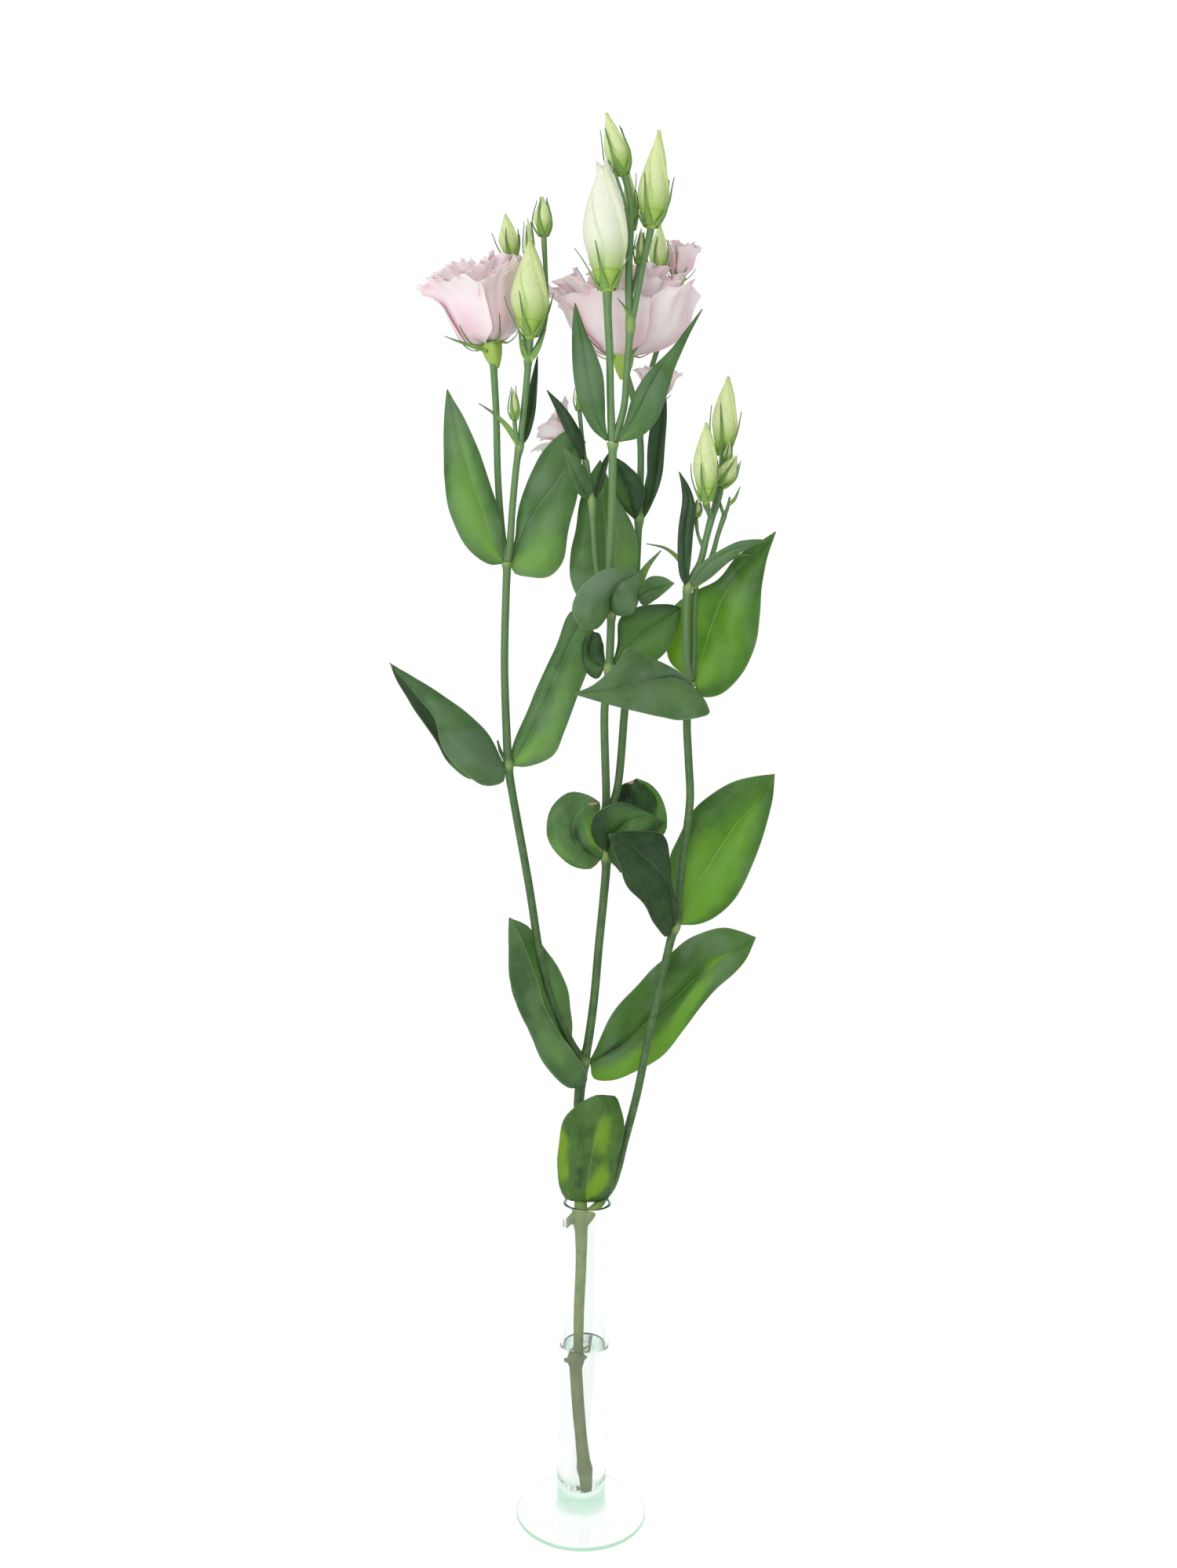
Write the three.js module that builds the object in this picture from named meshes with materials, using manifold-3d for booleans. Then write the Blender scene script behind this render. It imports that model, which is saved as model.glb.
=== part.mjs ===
// A cut lisianthus standing in a clear glass bud vase. Millimetres, +Z up.
// The origin is the middle of the vase's foot, on the surface that it stands on.
import * as THREE from 'three';
import { mergeVertices } from 'three/addons/utils/BufferGeometryUtils.js';
import Module from 'manifold-3d';

const wasm = await Module();
wasm.setup();

// Vase: a straight tube with a closed bottom on a disc foot.
const FOOT_RADIUS = 32.9;
const FOOT_EDGE = 2.9;
const TUBE_BOTTOM_RADIUS = 12.6;
const TUBE_TOP_RADIUS = 12.1;
const GLASS_WALL = 1.5;
const TUBE_START = 9.8;
const RIM_HEIGHT = 159;
const INNER_FLOOR = 12.6;
const TAPER_START = 40;
const VASE_SIDES = 18;
const WATER_LEVEL = 87;

// Gap left between two pieces that touch on the real thing.
const GAP = 0.3;

// The plant is measured in a front view, across and up in the plane of the vase's axis, with a depth
// behind that plane. The view is taken from this eye point and leans a little against the vase.
const EYE_ACROSS = 4;
const EYE_UP = 451.6;
const EYE_DISTANCE = 760;
const LEAN = THREE.MathUtils.degToRad(-1.2);

const LEAF_THICKNESS = 0.7;
const LEAF_FULLNESS = 0.42;
const LEAF_TAPER = 0.86;
const SHARPEST_MITRE = 0.62;
const LEAF_GRID = { steps: 6, columns: 4 };
const NARROW_LEAF_GRID = { steps: 5, columns: 2 };
const NARROW_LEAF = 7;
const PETAL_THICKNESS = 0.8;
const PETAL_OVERLAP = 1.1;
const PETAL_GRID = { steps: 3, columns: 3 };
const SMALL_PETAL_GRID = { steps: 3, columns: 2 };
const SMALL_BLOOM = 30;
const SEPAL_THICKNESS = 0.9;
const SEPALS = 5;
const SEPAL_HALF_TURN = 0.5;
const STEM_SIDES = 6;
const CUP_SIDES = 8;
const CUP_SINK = 0.8;
const SMALL_CUP = 5;
const TWIG_SIDES = 5;
const TWIG_RADIUS = 2.05;
const BUD_SIDES = 10;
const BUD_RINGS = 5;
const SMALL_BUD = { radius: 4.7, sides: 8, rings: 4 };
const BUD_FOLD = 0.07;
const BUD_TWIST = 1.1;

const GREEN_STEM = '#5a9455';
const GREEN_LEAF = '#4f8350';
const GREEN_DARK = '#34573b';
const GREEN_BRIGHT = '#5b9a40';
const BUD_GREEN = '#cfe09a';
const BUD_WHITE = '#e9f0d8';
const PETAL_PINK = '#f0d9e1';
const GLASS_TINT = '#e4f2ea';
const WATER_TINT = '#eef6f6';

// A stem is a row of [across, up, depth, radius]; a wider point is a node or a leaf scar.
const STEMS = {
  main: [
    [2.8, 13.2, 0, 2.7], [2.6, 20, 0, 3.4], [2.1, 30, 0, 3.1], [0.6, 41, 0, 2.8], [-0.6, 54, 0, 2.9],
    [-1.8, 75, 0, 3.1], [-1.8, 79.5, 0, 3.9], [-1.5, 84, 0, 3], [-1, 102, 0, 2.9], [0.2, 128, 0, 2.9],
    [0.3, 143, 0, 3.3], [0, 151, 0, 4.4], [0, 157, 0, 3.2], [-0.8, 180, 0, 2.6], [-0.8, 211, 0, 2.6],
    [0.7, 225, 0, 2.9], [1.6, 231, 0, 3.5], [1.8, 234, 0, 2.8],
  ],
  scarRight: [[-1, 79, 0, 1.4], [2, 81.5, -0.6, 1.1], [4, 84.4, -0.8, 0.5]],
  scarLeft: [[-2, 78.6, 0, 1.7], [-5.6, 79.2, 0, 1]],
  rimStub: [[-1, 150, 0, 2.1], [-4.4, 147.6, -1, 1.8], [-6, 145, -1, 1]],
  right: [
    [1, 150.5, 0, 2.2], [7.4, 155.4, 0, 2.2], [12.2, 161.6, -1, 2.1], [16, 167, -1.5, 2],
    [19, 175.6, -2, 2], [21.8, 187.2, -3, 2], [28.8, 214, -4, 2], [35.2, 246, -6, 2],
    [43.2, 280.8, -5, 2], [46.4, 294, -4, 2.1], [48, 299, -4, 2.9], [49.2, 304, -4, 2.1],
    [51.8, 333, -3, 2], [54.2, 349, -2, 2], [55.8, 365, -1, 2], [55, 384, 0, 2], [54.2, 404, 0, 2],
    [55.4, 419, 0, 2.1], [56, 424, 0, 2.9],
  ],
  rightFront: [
    [55.8, 424, 0, 2.2], [54.2, 434, -1, 1.9], [53.8, 450, -2, 1.9], [54, 466, -2, 2],
    [54.8, 472.4, -2, 2.6], [57.5, 478, -2, 1.9], [61, 485, -2, 1.7], [64.2, 498, -2, 1.7],
    [66.8, 508, -2, 1.9],
  ],
  rightBack: [
    [56.4, 424, 1, 1.6], [57.6, 440, 3, 1.4], [57.8, 460, 3, 1.4], [60, 477, 2.6, 1.3],
    [66.4, 487, 2, 1.3], [70, 499, 2, 1.2], [73.4, 509, 2, 1.4],
  ],
  rightFork: [[73.2, 508.6, 2, 1], [71.6, 513, 2.4, 0.8], [70.8, 517, 3, 0.5]],
  rightForkEnd: [[73.4, 508.6, 2, 1], [75, 513, 1.4, 0.9], [76, 518.2, 1, 0.5]],
  left: [
    [1.4, 230, 0, 2.4], [-4.4, 239, -1, 2], [-14, 258.8, -2, 2], [-20, 280.8, -3, 2],
    [-26.4, 320.4, -4, 2], [-34.4, 364.8, -5, 2], [-36.4, 377, -5, 2.1], [-36.9, 381.4, -5, 2.8],
    [-37.2, 386, -5, 2.1], [-38.8, 431.6, -6, 1.9], [-38, 470, -6, 1.9], [-37.6, 480, -6, 2],
    [-37.6, 485, -6, 2.8],
  ],
  leftAxil: [[-37.6, 383, -5, 1.3], [-40.6, 388, -5, 0.9], [-42.4, 394, -5, 0.5]],
  leftBloomStalk: [
    [-38, 485, -6, 2], [-40.2, 500.8, -4, 1.8], [-42.2, 528.4, 0, 1.7], [-43, 560, 3, 1.7],
    [-44.2, 582, 5.6, 1.8], [-44.4, 588, 6, 2.4],
  ],
  leftShoot: [
    [-37.2, 485, -6, 2], [-36.2, 492, -7, 1.8], [-34.8, 512.6, -8, 1.7], [-32.4, 537, -9, 1.7],
    [-31.2, 543.6, -9, 2.3], [-30.4, 550, -9, 1.6], [-28.4, 568, -10, 1.6], [-27, 583, -11, 1.7],
    [-26.8, 588, -11, 2.2], [-26, 598, -12, 1.9],
  ],
  leftYoungStalk: [[-31.4, 544.6, -10, 1.2], [-33, 550.5, -11.6, 1], [-33.6, 555.6, -12, 1.1]],
  leftSmallStalk: [
    [-27, 588, -10, 1.3], [-28.6, 598, -2.5, 1.1], [-28, 611, 1, 1.1], [-27, 623, 9, 1.1],
    [-29, 632, 20, 1.1], [-34, 636.6, 26, 1.3],
  ],
  leftThinStalk: [
    [-26.6, 588, -9.5, 1.2], [-25, 600, 0, 1], [-24.6, 620, 1.4, 1], [-25.8, 635, -1.4, 1.1],
  ],
  leftUpperStalk: [
    [-26.2, 588, -10, 1.3], [-20, 600, -3, 1.1], [-17.4, 613, 0.6, 1.1], [-17.8, 632, -0.4, 1.1],
    [-18.7, 649, -2, 1.4],
  ],
  middle: [
    [1.8, 230.6, 0, 2.6], [3.6, 239, 0, 2.2], [6.8, 262, 0, 2.1], [9.2, 288.8, 0, 2.1],
    [11.6, 312.4, 0, 2.1], [13, 329, 0, 2.2], [13, 335, 0, 3.1], [12.8, 345, 0, 2.6],
    [12.8, 356, 0, 3], [13, 360, 0, 2.4],
  ],
  front: [
    [12.8, 357, -0.6, 2.2], [13, 366, -2, 2], [12.2, 410, -6, 2], [14, 425, -8, 2],
    [14.6, 431, -8.6, 2.8], [14.8, 436, -9, 2], [15.5, 454, -10, 2], [15.6, 459, -10.5, 2.8],
    [15.4, 464, -11, 2], [14.8, 483, -14, 1.9], [16, 516.4, -18, 1.9], [16.3, 540, -21.4, 2],
    [16.4, 546, -22, 3],
  ],
  back: [
    [13.2, 357, 0.6, 2.1], [17.8, 366, 2.4, 2], [22.4, 409, 7, 2], [26.4, 461, 11, 2],
    [27.4, 467, 11.5, 2.7], [28, 473, 12, 1.9], [29.4, 501, 14, 1.9], [29.8, 507, 14.5, 2.6],
    [30, 513, 15, 1.8], [30.4, 547, 17, 1.7], [27, 568, 19, 1.7], [22.6, 582, 20, 2],
  ],
  sideShoot: [
    [15, 459.5, -9, 1.6], [10.6, 471, -8, 1.5], [8, 483, -7.6, 1.5], [6.6, 500, -8.4, 1.4],
    [5.6, 516.6, -9.4, 2], [4.6, 524, -9.6, 1.3], [2.4, 537, -10, 1.7],
  ],
  sideBloomStalk: [[2.4, 536.6, -9.6, 1.3], [1.2, 541, -3, 1.2], [-0.8, 544.6, 3, 1.4]],
  sideBudStalk: [[2, 537.4, -10, 1.2], [0.6, 550, -9.4, 1], [-0.4, 560, -9, 1.1]],
  whiteBudStalk: [
    [16, 546.4, -22.6, 2], [15.2, 569, -25, 1.8], [14.8, 591.6, -27.5, 1.8], [13.8, 612, -29.6, 1.9],
    [13.6, 622, -30, 2.3],
  ],
  upper: [
    [17, 546.4, -22, 2], [22, 563.6, -22, 1.7], [23.4, 580.4, -22, 1.7], [24.8, 598, -22, 1.8],
    [25.4, 606, -22, 2.6], [24.6, 614, -22, 1.6], [24.4, 636, -22, 1.6], [25.6, 656, -22, 1.5],
    [25.4, 668, -21.4, 1.5], [22.8, 680.6, -21, 1.7],
  ],
  rightBudStalk: [
    [25.8, 606.6, -21.4, 1.7], [29.2, 623, -20, 1.5], [31.8, 636.4, -19, 1.5], [35.4, 653, -18, 1.8],
  ],
  hiddenBudStalk: [
    [25.6, 607, -21, 1.3], [25.7, 620, -16.6, 1], [25.4, 636, -15, 1], [25.8, 652, -14.5, 1.3],
  ],
  clusterStalk: [[25.7, 622, -16.4, 1], [28, 630, -15.2, 0.9], [29.2, 635.4, -15, 1]],
  besideTop: [[25.4, 656, -22.6, 0.9], [22.4, 668, -25.4, 0.8], [18, 682, -29, 0.7], [14, 690, -30, 0.4]],
  farStalk: [
    [30.4, 546, 17, 1.6], [31, 566, 36, 1.4], [38, 590, 50, 1.4], [43, 606, 52, 1.7],
    [46.6, 618, 55, 1.5], [48.6, 624, 57, 1.8],
  ],
  farBudStalk: [[43, 605, 52, 1.4], [40.4, 618, 50, 1.2], [39.2, 628.6, 48, 1.4]],
  lowRightStalk: [[30, 508, 15.4, 1.6], [35, 530, 21, 1.3], [37.4, 552, 23.4, 1.3], [37.6, 562, 24, 1.7]],
  secondStalk: [[66.8, 507.6, -2, 1.7], [65, 511.5, -6.6, 1.5], [64.1, 514, -9.6, 1.8]],
  lowBudStalk: [[66.9, 507.6, -2, 1.6], [69.8, 515, -0.6, 1.4], [71.2, 521.4, 0, 1.6]],
  tallStalk: [[67, 508, -1.4, 1.4], [69, 518, 6, 1.3], [71, 529, 10.4, 1.2], [72.2, 537.6, 12, 1.5]],
  thirdStalk: [[69.6, 521.6, 7.6, 0.9], [72.6, 528, 9.4, 0.8], [73.8, 532.6, 8.6, 1]],
  tinyStalk: [[62.6, 492, -2.6, 1], [59.8, 499, -3, 0.8], [58.9, 506, -3, 1]],
};

// A leaf is one blade along its rib. halfWidth is a half's widest, and right and left say how far each
// half turns towards the viewer out of the front view, in degrees, at the base and at the tip. curl
// adds to that between rib and edge. A greater fullness moves the widest place up from the base.
const LEAVES = [
  { name: 'leaf_rim', rib: [[1.6, 158.6, -4.6], [2.4, 172, -11], [5, 192, -15], [14, 213.5, -13]],
    halfWidth: 18, right: [10, 10], left: [16, 8], curl: [22, 26], wave: 1.2, colour: GREEN_LEAF },
  { name: 'leaf_lower_left', rib: [[-0.8, 228.4, -2], [-11, 232, -4], [-24, 245, -4], [-33, 264, -4],
    [-36.4, 285, -4], [-36.6, 304, -4]],
    halfWidth: 20, right: [-30, -16], left: [128, 118], curl: [12, -14], wave: 0.8, colour: GREEN_LEAF },
  { name: 'leaf_lower_right', rib: [[4.6, 230, 2], [20.8, 243, 6], [40, 258.4, 8], [62, 279.6, 7],
    [89.2, 293.6, 3]],
    halfWidth: 18, right: [12, -6], left: [14, 16], curl: [10, 12], wave: 1.6, colour: GREEN_BRIGHT },
  { name: 'leaf_branch_right', rib: [[50.2, 300.4, -1.6], [60, 314, 4], [71, 332, 8], [83, 355, 8],
    [98.8, 377, 4]],
    halfWidth: 20.5, right: [10, 8], left: [14, 10], curl: [10, 14], wave: 1.2, colour: GREEN_BRIGHT },
  { name: 'leaf_branch_left', rib: [[46.6, 300, -6.6], [40.6, 319, -15], [31, 334, -22], [22, 339.6, -27],
    [14, 345.6, -32]],
    halfWidth: 15, right: [6, 0], left: [8, 0], curl: [-14, -22], wave: 1.8, colour: GREEN_DARK },
  { name: 'leaf_middle_left', rib: [[10.6, 334, -2.4], [1, 340, -8], [-9, 350, -11], [-11, 361, -17],
    [-3, 368, -22]],
    halfWidth: 14.5, right: [16, 30], left: [24, 40], curl: [26, 34], wave: 1.6, colour: GREEN_LEAF },
  { name: 'leaf_middle_front', rib: [[14.2, 337, -3.4], [19, 345, -8], [27, 352.6, -12], [41, 357, -12]],
    halfWidth: 11.5, right: [-4, -20], left: [4, -14], curl: [-16, 18], wave: 1.8, colour: GREEN_DARK },
  { name: 'leaf_middle_back', rib: [[14.6, 357.6, 3.6], [24, 354.6, 9], [33, 358, 12], [36, 367, 12],
    [28.4, 375, 11]],
    halfWidth: 12.5, right: [10, 10], left: [10, 16], curl: [8, 14], wave: 1.2, colour: GREEN_DARK },
  { name: 'leaf_left_low_left', rib: [[-39.6, 381, -6], [-57, 387.6, -12], [-71, 400, -15],
    [-82, 414, -14], [-97.6, 433.6, -10]],
    halfWidth: 16, right: [24, -38], left: [30, 34], curl: [12, 20], wave: 0.8, colour: GREEN_LEAF },
  { name: 'leaf_left_low_right', rib: [[-34.2, 382, -3], [-28, 396, -5], [-20, 410, -6], [-12.6, 431, -4],
    [4.6, 454, -1]],
    halfWidth: 13.5, right: [26, 20], left: [6, 10], curl: [10, 12], wave: 1, colour: GREEN_LEAF },
  { name: 'leaf_left_high_left', rib: [[-39.8, 485.6, -7], [-46, 493, -10], [-53, 513, -11],
    [-60, 541, -10], [-68, 572.4, -6]],
    halfWidth: 14, right: [34, 44], left: [18, 22], curl: [12, 12], wave: 0.8, colour: GREEN_LEAF },
  { name: 'leaf_left_high_right', rib: [[-34.6, 484.4, -4.6], [-28, 494, -6], [-18.4, 513, -8],
    [-9.6, 531, -7], [-1.6, 552, -3]],
    halfWidth: 16.5, right: [4, 0], left: [8, 8], curl: [8, 8], wave: 1, colour: GREEN_LEAF },
  { name: 'leaf_top_left', rib: [[12.4, 547.6, -24], [8, 566, -30], [2.4, 588, -33], [-3.2, 617.6, -31]],
    halfWidth: 10.5, fullness: 0.6, right: [26, 30], left: [20, 30], curl: [10, 8], wave: 0.6,
    colour: GREEN_LEAF },
  { name: 'leaf_top_right', rib: [[20.4, 547.4, -24], [27, 560.6, -28], [37.4, 578, -30],
    [62, 614.6, -26]],
    halfWidth: 12.5, fullness: 0.6, right: [20, 20], left: [22, 26], curl: [8, 8], wave: 0.8,
    colour: GREEN_LEAF },
  { name: 'leaf_right_big', rib: [[58.6, 424.6, 3], [62.4, 438, 7], [65.4, 455, 9], [74, 473, 7],
    [99, 499.8, -4]],
    halfWidth: 23, right: [8, 2], left: [-34, -28], curl: [10, 16], wave: 1, colour: GREEN_BRIGHT },
  { name: 'leaf_right_front', rib: [[57.4, 421.4, -4], [50, 424.4, -17], [38, 424, -32], [20, 419.6, -44],
    [-4.2, 417.6, -54]],
    halfWidth: 21.5, right: [-16, -30], left: [-20, -10], curl: [-26, -24], wave: 0.8, colour: GREEN_LEAF },
  { name: 'leaf_front_low_right', rib: [[17.6, 432.4, -8], [26, 441, -4], [38, 451, -2], [55, 461, 0]],
    halfWidth: 16, right: [6, 0], left: [10, 6], curl: [10, 14], wave: 1, colour: GREEN_DARK },
  { name: 'leaf_front_low_left', rib: [[12, 431.6, -9], [6.4, 436.4, -9], [3.4, 443, -8], [4.6, 450.4, -7]],
    halfWidth: 6.6, right: [24, 24], left: [24, 30], curl: [24, 24], wave: 0.5, colour: GREEN_DARK },
  { name: 'leaf_front_curled', rib: [[15, 460.4, -13.6], [13.6, 468, -22], [8.6, 472, -33],
    [1.4, 469, -42], [-4, 459, -46]],
    halfWidth: 16, right: [-26, -30], left: [-22, -26], curl: [-20, -24], wave: 1.4, colour: GREEN_LEAF },
  { name: 'leaf_back_right', rib: [[30.4, 467.6, 10.6], [33, 470.6, 2], [38, 472.4, -5], [48.6, 474.6, -10]],
    halfWidth: 8, right: [-10, -10], left: [-16, -10], curl: [-10, -14], wave: 0.6, colour: GREEN_LEAF },
  { name: 'leaf_front_upright', rib: [[15, 462.4, -7.4], [13.4, 478, 0], [12.6, 503, 3.4], [10, 536, 3]],
    halfWidth: 18.5, right: [8, 8], left: [12, 10], curl: [8, 10], wave: 1, colour: GREEN_LEAF },
  { name: 'leaf_side_left', rib: [[3.2, 517, -11], [-0.6, 525, -14.4], [-4.6, 534, -16], [-9.2, 543.8, -16]],
    halfWidth: 6.4, right: [16, 10], left: [20, 16], curl: [8, 8], wave: 0.4, colour: GREEN_LEAF },
  { name: 'leaf_side_right', rib: [[7.6, 518, -10.6], [9.8, 526, -10.6], [11.4, 536, -10], [13.4, 546, -9]],
    halfWidth: 3, right: [16, 10], left: [20, 16], curl: [8, 8], wave: 0.2, colour: GREEN_DARK },
  { name: 'leaf_side_narrow', rib: [[0.6, 537.6, -12], [-4, 548, -15], [-10, 560, -16], [-17.2, 571.6, -15]],
    halfWidth: 4.2, right: [16, 10], left: [20, 16], curl: [8, 8], wave: 0.4, colour: GREEN_DARK },
  { name: 'leaf_back_dark', rib: [[27.2, 507.4, 12.4], [22.6, 514, 12], [20, 527, 11.4], [16, 546, 10]],
    halfWidth: 9.5, right: [20, 20], left: [20, 18], curl: [18, 16], wave: 0.8, colour: GREEN_DARK },
  { name: 'leaf_back_outer', rib: [[32.6, 507.6, 16], [38, 523, 16], [41.4, 542, 15], [41, 567, 11]],
    halfWidth: 8.6, right: [14, 10], left: [20, 14], curl: [10, 10], wave: 0.6, colour: GREEN_DARK },
  { name: 'leaf_shoot_left', rib: [[53.4, 475, -3.6], [52.4, 488, -5], [54, 508, -5.6], [50, 530.4, -4]],
    halfWidth: 5, right: [22, 14], left: [18, 16], curl: [8, 8], wave: 0.4, colour: GREEN_DARK },
  { name: 'leaf_shoot_right', rib: [[57, 473.4, -5], [64, 483.6, -8], [77, 490.6, -8], [96.4, 495.6, -6]],
    halfWidth: 4.6, right: [20, 14], left: [20, 16], curl: [8, 8], wave: 0.4, colour: GREEN_LEAF },
  { name: 'leaf_left_narrow', rib: [[-29.4, 545.4, -6.6], [-26.6, 557, -4], [-23.6, 573, -3.4],
    [-21.6, 589.2, -4]],
    halfWidth: 3.6, right: [14, 10], left: [18, 10], curl: [6, 6], wave: 0.3, colour: GREEN_DARK },
];

// A bract or sepal is a slim pointed blade: [across, up, depth] along it, and its half width.
const BRACTS = [
  { rib: [[-31.6, 544, -9.6], [-36.4, 552.6, -11.4], [-43.4, 560, -12], [-52, 566, -12]], halfWidth: 1.5 },
  { rib: [[-27.4, 588, -12], [-29.8, 594.6, -15], [-31.6, 603, -15.6]], halfWidth: 1.5 },
  { rib: [[-25.8, 587.6, -12], [-21.6, 594.4, -15], [-17.6, 603.8, -15.6]], halfWidth: 1.5 },
  { rib: [[54, 473, -2], [52.4, 483, 1.4], [44, 491.6, 2.4], [33.4, 494.4, 2]], halfWidth: 1.5 },
  { rib: [[56.4, 472.4, -1], [66, 479.6, 1], [78, 487.6, 1], [88, 488.6, 0]], halfWidth: 2.4 },
  { rib: [[28.6, 472, 11.6], [33.4, 482, 9], [41, 491, 8]], halfWidth: 2.2 },
  { rib: [[75.4, 514, 1.4], [78.4, 517, 0], [81.4, 523.6, -0.6]], halfWidth: 0.9 },
  { rib: [[25, 606, -23.4], [23, 614, -24.6], [18.8, 619.6, -25.4]], halfWidth: 0.8 },
];

// A bud runs from its base to its tip; widest says how far up it is broadest. splay turns the free
// ends of its sepals outward, and reach is how far up the bud they grow.
const BUDS = [
  { name: 'bud_white', stalk: 'whiteBudStalk', base: [13.6, 625.6, -30], tip: [12, 686.8, -31],
    radius: 11.6, widest: 0.4, reach: 0.34, splay: 0.5, colour: BUD_WHITE },
  { name: 'bud_top', stalk: 'upper', base: [21.4, 684, -21], tip: [13.2, 713.6, -21],
    radius: 6, widest: 0.3, reach: 0.8, splay: 0.3, colour: BUD_GREEN },
  { name: 'bud_right', stalk: 'rightBudStalk', base: [36, 657.4, -18], tip: [40, 704.4, -18],
    radius: 7.5, widest: 0.34, reach: 0.52, splay: 0.36, colour: BUD_GREEN },
  { name: 'bud_behind_top', stalk: 'hiddenBudStalk', base: [25.8, 655.4, -14.4], tip: [24.4, 684.4, -13.6],
    radius: 3.8, widest: 0.4, reach: 0.6, splay: 0.1, colour: BUD_GREEN },
  { name: 'bud_cluster', stalk: 'clusterStalk', base: [29.6, 638, -15], tip: [30.8, 655, -15],
    radius: 2.1, widest: 0.4, reach: 0.9, splay: 0.2, colour: BUD_GREEN },
  { name: 'bud_far_right', stalk: 'farBudStalk', base: [39, 632, 47.6], tip: [40.4, 657, 47],
    radius: 5, widest: 0.4, reach: 0.7, splay: 0.05, colour: BUD_GREEN },
  { name: 'bud_left_big', stalk: 'leftShoot', base: [-25.8, 601.6, -12.4], tip: [-25.6, 648.4, -13],
    radius: 9.2, widest: 0.42, reach: 0.44, splay: 0.3, colour: BUD_GREEN },
  { name: 'bud_left_small', stalk: 'leftSmallStalk', base: [-35.2, 639.6, 27], tip: [-38.4, 662, 27],
    radius: 5.2, widest: 0.4, reach: 0.6, splay: 0.9, colour: BUD_GREEN },
  { name: 'bud_left_thin', stalk: 'leftThinStalk', base: [-26, 638, -2], tip: [-27, 660, -2.6],
    radius: 2.2, widest: 0.4, reach: 0.9, splay: 0.3, colour: BUD_GREEN },
  { name: 'bud_left_upper', stalk: 'leftUpperStalk', base: [-18.8, 652.4, -2.4], tip: [-19.6, 671, -3],
    radius: 4.6, widest: 0.4, reach: 1, splay: 0.2, colour: BUD_GREEN },
  { name: 'bud_left_young', stalk: 'leftYoungStalk', base: [-33.7, 558.6, -12.2], tip: [-34.4, 573, -13],
    radius: 2.2, widest: 0.35, reach: 1.1, splay: 0.1, colour: BUD_GREEN },
  { name: 'bud_branch_tall', stalk: 'tallStalk', base: [72.4, 540.6, 12.4], tip: [75.2, 579.2, 13],
    radius: 6.4, widest: 0.42, reach: 0.6, splay: 0.3, colour: BUD_GREEN },
  { name: 'bud_branch_second', stalk: 'secondStalk', base: [64, 517.2, -11], tip: [64, 555.6, -12],
    radius: 6.3, widest: 0.42, reach: 0.5, splay: 0.15, colour: BUD_GREEN },
  { name: 'bud_branch_third', stalk: 'thirdStalk', base: [74, 535.6, 8], tip: [76, 546.4, 4],
    radius: 2, widest: 0.4, reach: 0.9, splay: 0.2, colour: BUD_GREEN },
  { name: 'bud_branch_low', stalk: 'lowBudStalk', base: [71.8, 524.4, 0], tip: [79.2, 539, -1],
    radius: 4.6, widest: 0.42, reach: 0.9, splay: 0.4, colour: BUD_GREEN },
  { name: 'bud_branch_tiny', stalk: 'tinyStalk', base: [58.9, 508.8, -3], tip: [59.4, 517, -3],
    radius: 2.2, widest: 0.4, reach: 0.9, splay: 0.2, colour: BUD_GREEN },
  { name: 'bud_side', stalk: 'sideBudStalk', base: [-0.6, 563, -9], tip: [-1, 576, -9],
    radius: 2, widest: 0.4, reach: 0.9, splay: 0.2, colour: BUD_GREEN },
];

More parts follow.
